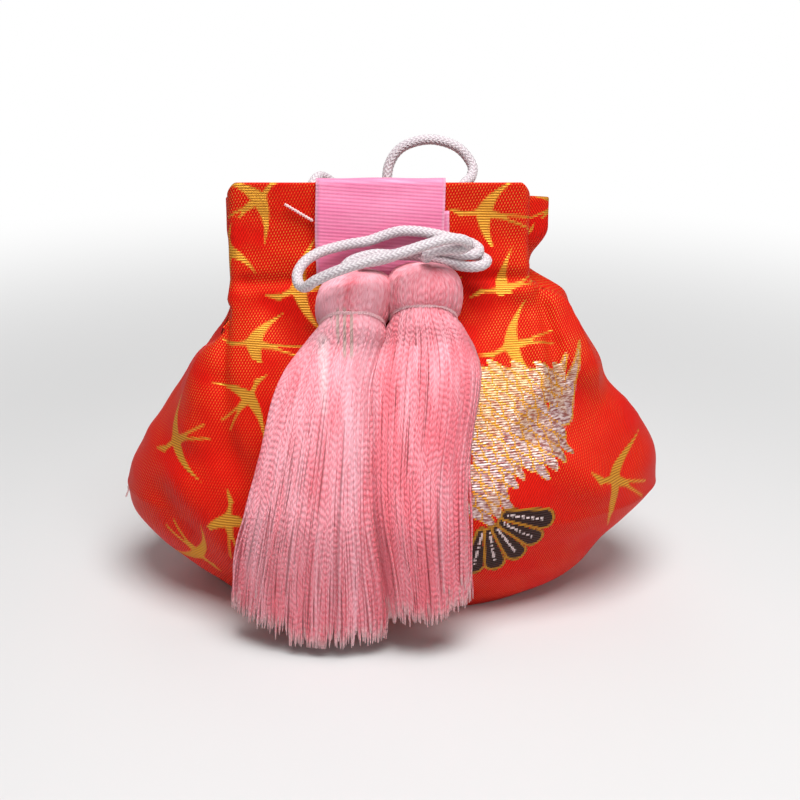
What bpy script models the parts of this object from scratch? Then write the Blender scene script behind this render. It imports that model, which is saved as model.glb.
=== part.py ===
"""Small brocade drawstring pouch with a flat pleated neck, a flower knot and two thread tassels.

Run with: blender --background --python part.py
Units are metres, +Z is up and the pouch faces -Y. The origin is the middle of the flat base.
"""

import math

import bmesh
import bpy
import numpy as np

MM = 0.001

# Bag heights, measured up from the flat base
BELLY_HEIGHT = 20.0 * MM
SHOULDER_HEIGHT = 61.0 * MM
NECK_HEIGHT = 78.0 * MM
REAR_RIM_DROP = 3.5 * MM
NECK_LEAN = 1.5 * MM

# Bag widths and depths
NECK_HALF_WIDTH = 26.9 * MM
NECK_DEPTH = 9.0 * MM
CORNER_REACH_LEFT = 49.0 * MM
CORNER_REACH_RIGHT = 53.4 * MM
BELLY_DEPTH = 52.0 * MM
BASE_WIDTH = 62.0 * MM
BASE_DEPTH = 33.0 * MM
REAR_PANEL_EXTRA_LEFT = 1.0 * MM
REAR_PANEL_EXTRA_RIGHT = 4.0 * MM
REAR_PANEL_RISE = 1.8
RIM_CORNER_RADIUS = 1.8 * MM
RIM_CORNER_DROP = 1.44 * MM
RIM_CORNER_RISE = 8

# Cloth and the pleat that is tucked in at each side of the neck
BROCADE_THICKNESS = 0.8 * MM
LINING_THICKNESS = 0.4 * MM
PLEAT_TUCK = 9.0 * MM
PLEAT_GROOVE = 1.8 * MM
PLEAT_FOLD_RADIUS = 1.8 * MM
LINING_TOP_DROP = 4.5 * MM
LINING_FOLD_LEAD = 1.4
LINING_NECK_ROUNDNESS = 6.0
LINING_FLOOR_INSET = 3.5 * MM

# Clearance between pieces that touch
GAP = 0.3 * MM

# Ribbon over the mouth
RIBBON_WIDTH = 22.8 * MM
RIBBON_CENTRE = 0.3 * MM
RIBBON_THICKNESS = 0.35 * MM
RIBBON_BOTTOM = 62.6 * MM
RIBBON_END = 73.6 * MM
RIBBON_SHIFT = 0.9 * MM
RIBBON_INSIDE = 3.0 * MM
RIBBON_LIFT = 0.4 * MM

# Threads and cords
CORD_DIAMETER = 1.9 * MM
THREAD_DIAMETER = 0.56 * MM
THREAD_END_DROP = 6.2 * MM
THREAD_END_RISE = 3.1 * MM
THREAD_END_REACH = 4.9 * MM
THREAD_END_LIFT = 0.5 * MM
LOOSE_THREAD_DIAMETER = 0.4 * MM
LOOSE_THREAD_DROP = 2.4 * MM
LOOSE_THREAD_OUT = 0.4 * MM
LOOSE_THREAD_FORWARD = 0.3 * MM
BINDING_DIAMETER = 0.5 * MM
BINDING_LIFT = 0.36 * MM

# Tassels
TASSEL_PARTING = 1.6 * MM
TASSEL_DEPTH = 8.4 * MM
TASSEL_CLEARANCE = 0.5 * MM
HEAD_TOP_LEFT = 64.6 * MM
HEAD_TOP_RIGHT = 65.7 * MM
HEAD_LENGTH = 4.9 * MM
WAIST_LENGTH = 1.15 * MM
SKIRT_END_LEFT = 5.0 * MM
SKIRT_END_RIGHT = 9.0 * MM
SKIRT_SPREAD_LEFT = 28.4 * MM
SKIRT_SPREAD_RIGHT = 14.8 * MM
SKIRT_END_THINNING = 0.22
HEAD_SHIFT_LEFT = 0.12
HEAD_CROWN = 0.3 * MM
RAGGED_END = 0.7 * MM
FLUTE_DEPTH = 0.05
FLUTE_COUNT = 20

# Heights of the tassel's rings: shares of the skirt, then shares of the head with its width there
SKIRT_SHARES = (0.0, 0.12, 0.3, 0.48, 0.64, 0.78, 0.9, 1.0)
HEAD_DOME = ((0.0, 0.97), (0.3, 0.98), (0.6, 0.86), (0.82, 0.62), (0.95, 0.34))

# Outer edge of a tassel's skirt: share of its height, then share of its spread
SKIRT_EDGE_LEFT = ((0.0, 0.2, 0.42, 0.6, 0.72, 0.84, 1.0), (1.0, 0.95, 0.85, 0.76, 0.7, 0.62, 0.44))
SKIRT_EDGE_RIGHT = ((0.0, 0.3, 0.5, 0.62, 0.78, 0.88, 1.0), (1.0, 0.95, 0.95, 1.02, 1.1, 1.04, 0.86))

# Columns of points round a quarter of the bag: along the panel, round its fold, in and round the valley
PANEL_STEPS = 6
FOLD_STEPS = 4
LEG_STEPS = 2
VALLEY_STEPS = 3

# Levels of the bag's rings, as shares from base to belly, from belly to shoulder and up the neck
LOWER_SHARES = (0.0, 0.12, 0.28, 0.5, 0.75)
UPPER_SHARES = (0.0, 0.14, 0.28, 0.4, 0.5, 0.6, 0.7, 0.8, 0.9)
NECK_SHARES = (0.0, 0.25, 0.5, 0.75, 0.93, 1.0)

# Shape of the lower part: share of the height, then share of the way from base size to belly size
LOWER_LEFT = ((0.0, 0.16, 0.32, 0.5, 0.75, 1.0), (0.0, 0.2, 0.42, 0.66, 0.93, 1.0))
LOWER_RIGHT = ((0.0, 0.16, 0.4, 0.65, 0.83, 1.0), (0.0, 0.3, 0.5, 0.7, 0.87, 1.0))
LOWER_DEPTH = ((0.0, 0.25, 0.5, 0.75, 1.0), (0.0, 0.37, 0.72, 0.93, 1.0))

# Shape of the upper part: share of the height, then share of the way from neck size to belly size
UPPER_DEPTH = ((0.0, 0.15, 0.29, 0.44, 0.58, 0.73, 0.85, 1.0), (1.0, 0.98, 0.88, 0.74, 0.58, 0.39, 0.2, 0.05))
REACH_LEFT = ((0.0, 0.11, 0.24, 0.39, 0.54, 0.66, 0.74, 1.0), (1.0, 0.93, 0.8, 0.68, 0.6, 0.48, 0.32, 0.1))
REACH_RIGHT = ((0.0, 0.19, 0.31, 0.47, 0.66, 0.83, 0.9, 1.0), (1.0, 0.96, 0.85, 0.67, 0.66, 0.66, 0.72, 0.85))
PANEL_LEFT = ((0.0, 0.39, 0.54, 0.74, 0.85, 1.0), (0.15, 0.08, 0.06, 0.05, 0.03, 0.0))
PANEL_RIGHT = ((0.0, 0.4, 0.5, 0.6, 0.7, 0.8, 0.9, 1.0), (0.42, 0.34, 0.3, 0.26, 0.22, 0.16, 0.09, 0.03))

# How far the side is still folded in as a pleat: 0 is a smooth side, 1 the full fold of the neck
PLEAT_LEFT = ((0.0, 0.25, 0.4, 0.54, 0.66, 0.74, 0.85, 0.95), (0.0, 0.0, 0.08, 0.2, 0.33, 0.5, 0.75, 1.0))
PLEAT_RIGHT = ((0.0, 0.4, 0.5, 0.66, 0.83, 0.9, 1.0), (0.0, 0.0, 0.1, 0.25, 0.4, 0.5, 1.0))

# Roundness of the plan section: 2 is an ellipse, more is boxier
BASE_ROUNDNESS = 2.4
BELLY_ROUNDNESS = 1.9

# Route of the cord that makes the flower knot, in millimetres, from the left tassel to the right one
KNOT_ROUTE = (
    (-3.2, -11.2, 66.2), (-0.6, -11.6, 66.6), (2.2, -11.4, 67.3), (5.0, -10.4, 68.1), (8.0, -9.2, 68.3),
    (11.2, -9.3, 67.9), (14.4, -9.7, 67.4), (16.8, -9.4, 67.3), (17.6, -8.0, 67.8), (16.0, -6.8, 68.6),
    (13.0, -6.4, 69.3), (10.0, -6.4, 70.0), (6.8, -6.3, 70.5), (3.6, -6.3, 70.5), (0.8, -6.4, 69.7),
    (-1.8, -6.9, 68.9), (-4.4, -7.0, 68.5), (-7.4, -7.3, 67.9), (-10.4, -8.3, 67.2), (-12.8, -9.8, 66.0),
    (-14.0, -11.5, 64.4), (-13.7, -13.2, 63.0), (-12.4, -15.0, 63.0), (-10.6, -16.6, 64.6),
    (-7.2, -17.4, 66.4), (-3.4, -17.6, 67.8), (0.2, -17.5, 68.8), (3.8, -17.2, 69.6),
    (8.0, -16.2, 70.7), (11.6, -15.0, 71.4), (14.4, -13.8, 71.0),
    (15.5, -12.9, 69.9), (14.2, -12.6, 69.1), (12.0, -12.8, 69.0), (9.8, -13.0, 68.9),
    (8.6, -12.6, 68.1), (8.3, -11.7, 67.1),
)

# Route of the hanging cord: out of the mouth at the left, down the back, up to the arch and in again
HANGING_ROUTE = (
    (-11.6, 1.3, 70.6), (-12.0, 1.9, 73.6), (-12.0, 3.8, 76.5), (-10.8, 6.2, 77.5), (-8.8, 7.9, 76.0),
    (-7.4, 8.1, 73.0), (-6.6, 7.6, 69.0), (-6.1, 7.4, 65.0), (-5.6, 8.2, 60.5), (-5.0, 11.0, 56.0),
    (-4.2, 14.2, 51.5), (-3.2, 17.8, 46.5), (-2.0, 21.2, 41.0), (0.0, 23.6, 36.6), (3.0, 24.4, 35.2),
    (5.6, 22.9, 37.8), (6.4, 20.2, 42.6), (6.0, 16.4, 48.4), (5.0, 12.4, 54.0), (3.8, 9.0, 59.5),
    (2.6, 7.8, 65.0), (1.8, 8.0, 70.0), (1.4, 9.2, 75.0), (1.9, 10.4, 79.0), (4.4, 11.0, 82.0),
    (9.3, 11.0, 83.3), (14.2, 10.8, 82.0), (17.0, 10.0, 79.0), (16.9, 8.2, 77.0), (15.6, 5.8, 76.3),
    (13.8, 2.8, 74.4), (12.8, 1.3, 71.0),
)
TUBE_STEPS_A_POINT = 2

# Colours: linear red, green, blue
BROCADE_RED = (0.72, 0.02, 0.01)
LINING_RED = (0.55, 0.05, 0.04)
RIBBON_PINK = (0.93, 0.36, 0.52)
TASSEL_PINK = (0.92, 0.36, 0.42)
CORD_WHITE = (0.86, 0.83, 0.83)
THREAD_PALE = (0.93, 0.72, 0.72)


def clear_scene():
    for item in list(bpy.data.objects):
        bpy.data.objects.remove(item, do_unlink=True)


def make_collection(name):
    collection = bpy.data.collections.new(name)
    bpy.context.scene.collection.children.link(collection)
    return collection


def make_material(name, colour, roughness, metallic=0.0):
    material = bpy.data.materials.new(name)
    material.use_nodes = True
    shader = material.node_tree.nodes["Principled BSDF"]
    shader.inputs["Base Color"].default_value = (*colour, 1.0)
    shader.inputs["Roughness"].default_value = roughness
    shader.inputs["Metallic"].default_value = metallic
    return material


def add_object(name, data, material, collection):
    piece = bpy.data.objects.new(name, data)
    data.materials.append(material)
    collection.objects.link(piece)
    return piece


def add_wall(piece, thickness, offset):
    wall = piece.modifiers.new("wall", "SOLIDIFY")
    wall.thickness = thickness
    wall.offset = offset


def smooth_step(share):
    share = np.clip(share, 0.0, 1.0)
    return share * share * (3.0 - 2.0 * share)


def read_curve(table, at):
    """Smooth curve through a table's points: cubic pieces whose slopes are those between the neighbours."""
    stations, values = (np.asarray(column, dtype=float) for column in table)
    slopes = np.gradient(values, stations)
    at = np.clip(at, stations[0], stations[-1])
    piece = np.clip(np.searchsorted(stations, at) - 1, 0, len(stations) - 2)
    span = stations[piece + 1] - stations[piece]
    t = (at - stations[piece]) / span
    return (
        values[piece] * (1 + 2 * t) * (1 - t) ** 2
        + values[piece + 1] * t * t * (3 - 2 * t)
        + span * (slopes[piece] * t * (1 - t) ** 2 - slopes[piece + 1] * t * t * (1 - t))
    )


def shares_at(height):
    """Shares of the way up the lower part, the upper part and the neck at a height."""
    lower = np.clip(height / BELLY_HEIGHT, 0.0, 1.0)
    upper = np.clip((height - BELLY_HEIGHT) / (SHOULDER_HEIGHT - BELLY_HEIGHT), 0.0, 1.0)
    neck = np.clip((height - SHOULDER_HEIGHT) / (NECK_HEIGHT - SHOULDER_HEIGHT), 0.0, 1.0)
    return lower, upper, neck


def section_sizes(height, right):
    """Half depth, unfolded reach, panel edge and pleat share of one side at a height."""
    lower, upper, _ = shares_at(height)
    corner = CORNER_REACH_RIGHT if right else CORNER_REACH_LEFT
    belly_half, neck_half = BELLY_DEPTH / 2, NECK_DEPTH / 2
    flare = corner - NECK_HALF_WIDTH
    panel_at_belly = NECK_HALF_WIDTH + flare * (PANEL_RIGHT if right else PANEL_LEFT)[1][0]
    if height < BELLY_HEIGHT:
        half_base = BASE_WIDTH / 2
        reach = half_base + (corner - half_base) * read_curve(LOWER_RIGHT if right else LOWER_LEFT, lower)
        depth = BASE_DEPTH / 2 + (belly_half - BASE_DEPTH / 2) * read_curve(LOWER_DEPTH, lower)
        return depth, reach, reach * panel_at_belly / corner, 0.0
    reach = NECK_HALF_WIDTH + flare * read_curve(REACH_RIGHT if right else REACH_LEFT, upper)
    panel = NECK_HALF_WIDTH + flare * read_curve(PANEL_RIGHT if right else PANEL_LEFT, upper)
    pleat = float(read_curve(PLEAT_RIGHT if right else PLEAT_LEFT, upper))
    neck_share = shares_at(height)[2]
    panel = panel + (NECK_HALF_WIDTH - panel) * smooth_step(neck_share * 4)
    flattening = 1 - smooth_step(neck_share * 2)
    depth = neck_half + (belly_half - neck_half) * read_curve(UPPER_DEPTH, upper) * flattening
    return depth, reach, panel, min(max(pleat, 0.0), 1.0)


def lean_at(height):
    return NECK_LEAN * shares_at(height)[2]


def roundness_at(height):
    return BASE_ROUNDNESS + (BELLY_ROUNDNESS - BASE_ROUNDNESS) * smooth_step(shares_at(height)[0])


def smooth_quarter(reach, depth, panel, roundness):
    """Superellipse from the middle of a panel to the side, with PANEL_STEPS points up to the panel's edge."""
    edge_angle = math.asin(min(panel / reach, 0.92) ** (roundness / 2))
    across = np.sin(edge_angle) ** (2 / roundness) * np.linspace(0, 1, PANEL_STEPS + 1)
    first = np.arcsin(across ** (roundness / 2))
    rest_steps = FOLD_STEPS + LEG_STEPS + VALLEY_STEPS
    second = np.linspace(edge_angle, math.pi / 2, rest_steps + 1)[1:]
    angle = np.concatenate([first, second])
    x = reach * np.sin(angle) ** (2 / roundness)
    y = depth * np.abs(np.cos(angle)) ** (2 / roundness)
    y[-1] = 0.0
    return x, y


def pleated_quarter(depth, panel):
    """Flat panel, a round fold at its edge, the leg of the pleat going back in, and half of the valley."""
    groove = PLEAT_GROOVE / 2
    radius = min(PLEAT_FOLD_RADIUS, (depth - groove) / 2)
    valley = panel - PLEAT_TUCK
    flat_x = np.linspace(0, panel - radius, PANEL_STEPS + 1)[:-1]
    turn = np.linspace(0, math.pi, FOLD_STEPS + 2)
    turn_x = panel - radius + radius * np.sin(turn)
    turn_y = depth - radius + radius * np.cos(turn)
    leg = np.linspace(0, 1, LEG_STEPS + 1)[1:]
    leg_x = turn_x[-1] + (valley + groove - turn_x[-1]) * leg
    leg_y = turn_y[-1] + (groove - turn_y[-1]) * leg
    bend = np.linspace(0, math.pi / 2, VALLEY_STEPS)[1:]
    bend_x = valley + groove - groove * np.sin(bend)
    bend_y = groove * np.cos(bend)
    x = np.concatenate([flat_x, turn_x, leg_x, bend_x])
    y = np.concatenate([np.full(len(flat_x), depth), turn_y, leg_y, bend_y])
    y[-1] = 0.0
    return x, y


def quarter(height, right, rear, pleated):
    depth, reach, panel, pleat = section_sizes(height, right)
    neck_share = shares_at(height)[2]
    extra = REAR_PANEL_EXTRA_RIGHT if right else REAR_PANEL_EXTRA_LEFT
    if not pleated:
        valley = panel - PLEAT_TUCK
        folded = min(1.0, LINING_FOLD_LEAD * pleat)
        reach = (1 - folded) * reach + folded * valley
        roundness = roundness_at(height) + (LINING_NECK_ROUNDNESS - BELLY_ROUNDNESS) * folded**4
        return smooth_quarter(reach, depth, 0.6 * reach, roundness)
    smooth_x, smooth_y = smooth_quarter(reach, depth, panel, roundness_at(height))
    fold_x, fold_y = pleated_quarter(depth, panel)
    x = (1 - pleat) * smooth_x + pleat * fold_x
    y = (1 - pleat) * smooth_y + pleat * fold_y
    if rear:
        widening = extra * smooth_step(REAR_PANEL_RISE * neck_share)
        x = x + widening * smooth_step(x / panel) * np.minimum(y / (depth / 2), 1.0)
    return x, y


def bag_ring(height, pleated=True):
    """One ring of the bag at a height, counter-clockwise from the middle of the front."""
    parts_x, parts_y = [], []
    for right, rear in ((True, False), (True, True), (False, True), (False, False)):
        x, y = quarter(height, right, rear, pleated)
        x = x if right else -x
        y = y if rear else -y
        forward = right != rear
        x, y = (x, y) if forward else (x[::-1], y[::-1])
        parts_x.append(x[:-1])
        parts_y.append(y[:-1])
    x, y = np.concatenate(parts_x), np.concatenate(parts_y)
    depth = section_sizes(height, True)[0]
    neck_share = shares_at(height)[2]
    z = height - REAR_RIM_DROP * neck_share * (y / depth + 1) / 2
    if pleated:
        edge = np.where(x > 0, section_sizes(height, True)[2], section_sizes(height, False)[2])
        near_edge = (np.abs(x) - edge + RIM_CORNER_RADIUS) / RIM_CORNER_RADIUS
        z = z - RIM_CORNER_DROP * neck_share**RIM_CORNER_RISE * np.clip(near_edge, 0, 1) ** 2
    return np.stack([x, y + lean_at(height), z], axis=1)


def front_surface(x, height):
    """The bag's front face, as y over x, at one height."""
    ring = bag_ring(height)
    steps = PANEL_STEPS + 2
    front = np.concatenate([ring[-steps:], ring[:steps]])
    return np.interp(x, front[:, 0], front[:, 1])


def heights_of(lower, upper, neck):
    stretches = (
        (0.0, BELLY_HEIGHT, lower),
        (BELLY_HEIGHT, SHOULDER_HEIGHT, upper),
        (SHOULDER_HEIGHT, NECK_HEIGHT, neck),
    )
    return [low + (high - low) * share for low, high, shares in stretches for share in shares]


def open_shell(name, rings):
    """Mesh of stacked rings, open at the top and closed by a flat floor at the lowest ring."""
    count = len(rings[0])
    bm = bmesh.new()
    rows = [[bm.verts.new(point) for point in ring] for ring in rings]
    for low, high in zip(rows, rows[1:]):
        for i in range(count):
            j = (i + 1) % count
            bm.faces.new((low[i], low[j], high[j], high[i]))
    centre = np.array([0.0, 0.0, rings[0][0][2]])
    inner = [bm.verts.new(centre + 0.5 * (point - centre)) for point in rings[0]]
    middle = bm.verts.new(centre)
    for i in range(count):
        j = (i + 1) % count
        bm.faces.new((rows[0][j], rows[0][i], inner[i], inner[j]))
        bm.faces.new((inner[j], inner[i], middle))
    mesh = bpy.data.meshes.new(name)
    bm.to_mesh(mesh)
    bm.free()
    mesh.shade_smooth()
    return mesh


def shell_normals(rings):
    """Outward normals of stacked rings, from the directions along and across them."""
    grid = np.array(rings)
    along = np.roll(grid, -1, axis=1) - np.roll(grid, 1, axis=1)
    up = np.gradient(grid, axis=0)
    normal = np.cross(along, up)
    return normal / np.linalg.norm(normal, axis=2, keepdims=True)


def build_bag(collection):
    rings = [bag_ring(height) for height in heights_of(LOWER_SHARES, UPPER_SHARES, NECK_SHARES)]
    material = make_material("brocade", BROCADE_RED, 0.55, 0.1)
    piece = add_object("brocade_bag", open_shell("brocade_bag", rings), material, collection)
    add_wall(piece, BROCADE_THICKNESS, -1.0)


def build_lining(collection):
    """The lining: the bag's shape without its pleats, moved in by the brocade and the gap."""
    top = 1.0 - LINING_TOP_DROP / (NECK_HEIGHT - SHOULDER_HEIGHT)
    heights = heights_of((0.0, 0.2, 0.5), UPPER_SHARES, (0.0, 0.4 * top, top))
    rings = [bag_ring(height, pleated=False)[::2] for height in heights]
    inset = BROCADE_THICKNESS + 2 * GAP
    moved = np.array(rings) - inset * shell_normals(rings)
    moved[0, :, 2] = BROCADE_THICKNESS + GAP
    moved[0, :, :2] = np.array(rings)[0, :, :2] * (1 - LINING_FLOOR_INSET / (BASE_DEPTH / 2))
    material = make_material("lining", LINING_RED, 0.8)
    piece = add_object("lining_bag", open_shell("lining_bag", list(moved)), material, collection)
    add_wall(piece, LINING_THICKNESS, -1.0)


def build_ribbon(collection):
    """A strip that starts inside the mouth, goes over the rim, down in front and back up behind itself."""
    middle = RIBBON_LIFT + RIBBON_THICKNESS / 2
    layer = GAP + RIBBON_THICKNESS
    rim_front = float(front_surface(0.0, NECK_HEIGHT))
    turn_radius = BROCADE_THICKNESS / 2 + middle
    path = [(rim_front + BROCADE_THICKNESS + middle, NECK_HEIGHT - RIBBON_INSIDE, 0.0)]
    for angle in np.linspace(0, math.pi, 7):
        y = rim_front + BROCADE_THICKNESS / 2 + turn_radius * math.cos(angle)
        path.append((y, NECK_HEIGHT + turn_radius * math.sin(angle), 0.0))
    for share in np.linspace(0.12, 1.0, 8):
        z = NECK_HEIGHT + (RIBBON_BOTTOM - NECK_HEIGHT) * share
        out = middle + layer * float(smooth_step(share * 3))
        path.append((float(front_surface(0.0, z)) - out, z, 0.0))
    fold_y = path[-1][0] + layer / 2
    for angle in np.linspace(0, math.pi, 5)[1:]:
        side = RIBBON_SHIFT * angle / math.pi
        path.append((fold_y - layer / 2 * math.cos(angle), RIBBON_BOTTOM - layer / 2 * math.sin(angle), side))
    for share in np.linspace(0.2, 1.0, 5):
        z = RIBBON_BOTTOM + (RIBBON_END - RIBBON_BOTTOM) * share
        path.append((float(front_surface(0.0, z)) - middle, z, RIBBON_SHIFT))
    bm = bmesh.new()
    across = np.linspace(-0.5, 0.5, 3) * RIBBON_WIDTH + RIBBON_CENTRE
    rows = [[bm.verts.new((x + side, y, z)) for x in across] for y, z, side in path]
    for low, high in zip(rows, rows[1:]):
        for i in range(len(across) - 1):
            bm.faces.new((low[i], low[i + 1], high[i + 1], high[i]))
    mesh = bpy.data.meshes.new("ribbon")
    bm.to_mesh(mesh)
    bm.free()
    mesh.shade_smooth()
    piece = add_object("ribbon", mesh, make_material("ribbon", RIBBON_PINK, 0.55), collection)
    add_wall(piece, RIBBON_THICKNESS, 0.0)


def smooth_route(points, steps):
    """Catmull-Rom curve through hand-chosen points, with a fixed number of steps to each stretch."""
    points = np.asarray(points, dtype=float)
    ends = np.vstack([2 * points[0] - points[1], points, 2 * points[-1] - points[-2]])
    before, start, end, after = ends[:-3, None], ends[1:-2, None], ends[2:-1, None], ends[3:, None]
    t = (np.arange(steps) / steps)[None, :, None]
    curve = 0.5 * (
        2 * start + (end - before) * t + (2 * before - 5 * start + 4 * end - after) * t**2
        + (3 * start - before - 3 * end + after) * t**3
    )
    return np.vstack([curve.reshape(-1, 3), points[-1:]])


def build_tube(name, points, diameter, material, collection, closed=False):
    curve = bpy.data.curves.new(name, "CURVE")
    curve.dimensions = "3D"
    curve.bevel_depth = diameter / 2
    curve.bevel_resolution = 2
    curve.use_fill_caps = not closed
    spline = curve.splines.new("POLY")
    spline.points.add(len(points) - 1)
    for target, point in zip(spline.points, points):
        target.co = (*point, 1.0)
    spline.use_cyclic_u = closed
    add_object(name, curve, material, collection)


def build_cords(collection):
    white = make_material("cord", CORD_WHITE, 0.6)
    knot = smooth_route(np.array(KNOT_ROUTE) * MM, TUBE_STEPS_A_POINT)
    build_tube("knot_cord", knot, CORD_DIAMETER, white, collection)
    hanging = smooth_route(np.array(HANGING_ROUTE) * MM, TUBE_STEPS_A_POINT)
    build_tube("hanging_cord", hanging, CORD_DIAMETER, white, collection)


def build_threads(collection):
    """The stiff thread end beside the ribbon, and the tiny loose thread at the bag's left corner."""
    pale = make_material("thread", THREAD_PALE, 0.6)
    ribbon_edge = RIBBON_CENTRE - RIBBON_WIDTH / 2 - THREAD_END_LIFT
    shares = np.linspace(0, 1, 6)
    z = NECK_HEIGHT - THREAD_END_DROP + THREAD_END_RISE * shares
    x = ribbon_edge - THREAD_END_REACH * shares
    out = GAP + THREAD_DIAMETER / 2 + THREAD_END_LIFT * shares
    y = np.array([float(front_surface(0.0, height)) for height in z]) - out
    build_tube("thread_end", np.stack([x, y, z], axis=1), THREAD_DIAMETER, pale, collection)
    corner = bag_ring(BELLY_HEIGHT * 0.9)
    tip = corner[np.argmin(corner[:, 0])]
    reach = GAP + LOOSE_THREAD_DIAMETER / 2
    start = tip - np.array([reach, 0.0, 0.0])
    fall = np.array([LOOSE_THREAD_OUT, LOOSE_THREAD_FORWARD, LOOSE_THREAD_DROP])
    points = start - fall * np.linspace(0, 1, 5)[:, None]
    build_tube("loose_thread", points, LOOSE_THREAD_DIAMETER, pale, collection)


def ribbon_stack():
    return 2 * (GAP + RIBBON_THICKNESS)


def tassel_sections(right):
    """Levels of a tassel from its skirt's end to its head: height, inner edge, outer edge and depth."""
    top = HEAD_TOP_RIGHT if right else HEAD_TOP_LEFT
    end = SKIRT_END_RIGHT if right else SKIRT_END_LEFT
    spread = SKIRT_SPREAD_RIGHT if right else SKIRT_SPREAD_LEFT
    waist = top - HEAD_LENGTH
    side = 1.0 if right else -1.0
    inner = TASSEL_PARTING + side * GAP
    levels = []
    for share in SKIRT_SHARES:
        outer = inner + side * spread * read_curve(SKIRT_EDGE_RIGHT if right else SKIRT_EDGE_LEFT, share)
        depth = TASSEL_DEPTH * (1 - SKIRT_END_THINNING * (1 - share))
        levels.append((end + (waist - WAIST_LENGTH - end) * share, inner, outer, depth))
    head_width = spread * (SKIRT_EDGE_RIGHT if right else SKIRT_EDGE_LEFT)[1][-1]
    groove = GAP + BINDING_DIAMETER
    for rise in (-0.5, 0.5):
        edges = inner + side * groove, inner + side * (head_width - groove)
        levels.append((waist + BINDING_DIAMETER * rise, *edges, TASSEL_DEPTH - 2 * groove))
    for rise, squeeze in HEAD_DOME:
        height = waist + WAIST_LENGTH + (HEAD_LENGTH - WAIST_LENGTH) * rise
        middle = inner + side * head_width * (0.5 - (0.0 if right else HEAD_SHIFT_LEFT) * rise)
        half = head_width / 2 * squeeze
        levels.append((height, middle - side * half, middle + side * half, TASSEL_DEPTH * squeeze))
    return levels


def tassel_middle(x, height):
    """Middle of a tassel's depth: it lies on the bag, in front of the ribbon, and hangs from the belly."""
    start = HEAD_TOP_LEFT - 2 * HEAD_LENGTH
    in_front_of_ribbon = ribbon_stack() * smooth_step((height - start) / (HEAD_LENGTH - WAIST_LENGTH))
    back = front_surface(x, max(height, BELLY_HEIGHT)) - TASSEL_CLEARANCE - in_front_of_ribbon
    return back - TASSEL_DEPTH / 2


def tassel_ring(level, share_from_end):
    """Fluted ring that lies on the bag's front, or hangs straight down from the belly."""
    height, inner, outer, depth = level
    angle = np.linspace(0, 2 * math.pi, 2 * FLUTE_COUNT, endpoint=False)
    flute = np.where(np.arange(2 * FLUTE_COUNT) % 2 == 0, 1.0, 1.0 - FLUTE_DEPTH)
    centre, half = (inner + outer) / 2, abs(outer - inner) / 2
    x = centre + half * flute * np.cos(angle)
    y = tassel_middle(x, height) - depth / 2 * flute * np.sin(angle)
    ragged = RAGGED_END * np.sin(7 * angle) * (1 - share_from_end) ** 6
    z = np.full_like(x, height) + ragged
    return np.stack([x, y, z], axis=1)


def build_tassel(name, right, pink, collection):
    levels = tassel_sections(right)
    lowest, highest = levels[0][0], levels[-1][0]
    rings = [tassel_ring(level, (level[0] - lowest) / (highest - lowest)) for level in levels]
    bm = bmesh.new()
    rows = [[bm.verts.new(point) for point in ring] for ring in rings]
    count = len(rows[0])
    top = bm.verts.new(rings[-1].mean(axis=0) + np.array([0, 0, HEAD_CROWN]))
    bottom = bm.verts.new(rings[0].mean(axis=0))
    for i in range(count):
        j = (i + 1) % count
        for low, high in zip(rows, rows[1:]):
            bm.faces.new((low[i], low[j], high[j], high[i]))
        bm.faces.new((rows[-1][i], rows[-1][j], top))
        bm.faces.new((rows[0][j], rows[0][i], bottom))
    bmesh.ops.recalc_face_normals(bm, faces=bm.faces)
    pivot = tassel_pivot(right)
    bmesh.ops.translate(bm, verts=bm.verts, vec=-pivot)
    mesh = bpy.data.meshes.new(name)
    bm.to_mesh(mesh)
    bm.free()
    mesh.shade_smooth()
    piece = add_object(name, mesh, pink, collection)
    piece.location = pivot


def tassel_pivot(right):
    """Where the cord enters the head's top, which is on the axis that the tassel swings about."""
    highest = tassel_sections(right)[-1]
    ring = tassel_ring(highest, 1.0)
    top = HEAD_TOP_RIGHT if right else HEAD_TOP_LEFT
    return np.array([ring[:, 0].mean(), ring[:, 1].mean(), top])


def build_binding(name, right, material, collection):
    """Thread tied round the waist between the head and the skirt."""
    low, high = tassel_sections(right)[len(SKIRT_SHARES):len(SKIRT_SHARES) + 2]
    height = (low[0] + high[0]) / 2
    _, inner, outer, depth = low
    reach = BINDING_LIFT + BINDING_DIAMETER / 2
    angle = np.linspace(0, 2 * math.pi, 24, endpoint=False)
    centre, half = (inner + outer) / 2, abs(outer - inner) / 2
    x = centre + (half + reach) * np.cos(angle)
    y = tassel_middle(x, height) - (depth / 2 + reach) * np.sin(angle)
    route = np.stack([x, y, np.full_like(x, height)], axis=1)
    build_tube(name, route, BINDING_DIAMETER, material, collection, True)


def build_tassels(collection):
    pink = make_material("tassel_thread", TASSEL_PINK, 0.5)
    binding = make_material("binding_thread", THREAD_PALE, 0.5)
    for side, right in (("left", False), ("right", True)):
        build_tassel(f"tassel_{side}", right, pink, collection)
        build_binding(f"binding_{side}", right, binding, collection)


def main():
    clear_scene()
    collection = make_collection("drawstring_pouch")
    build_bag(collection)
    build_lining(collection)
    build_ribbon(collection)
    build_cords(collection)
    build_threads(collection)
    build_tassels(collection)


main()
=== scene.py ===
"""Looks of a small brocade drawstring pouch: its cloth, cords, ribbon and tassels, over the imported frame."""

import math

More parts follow.
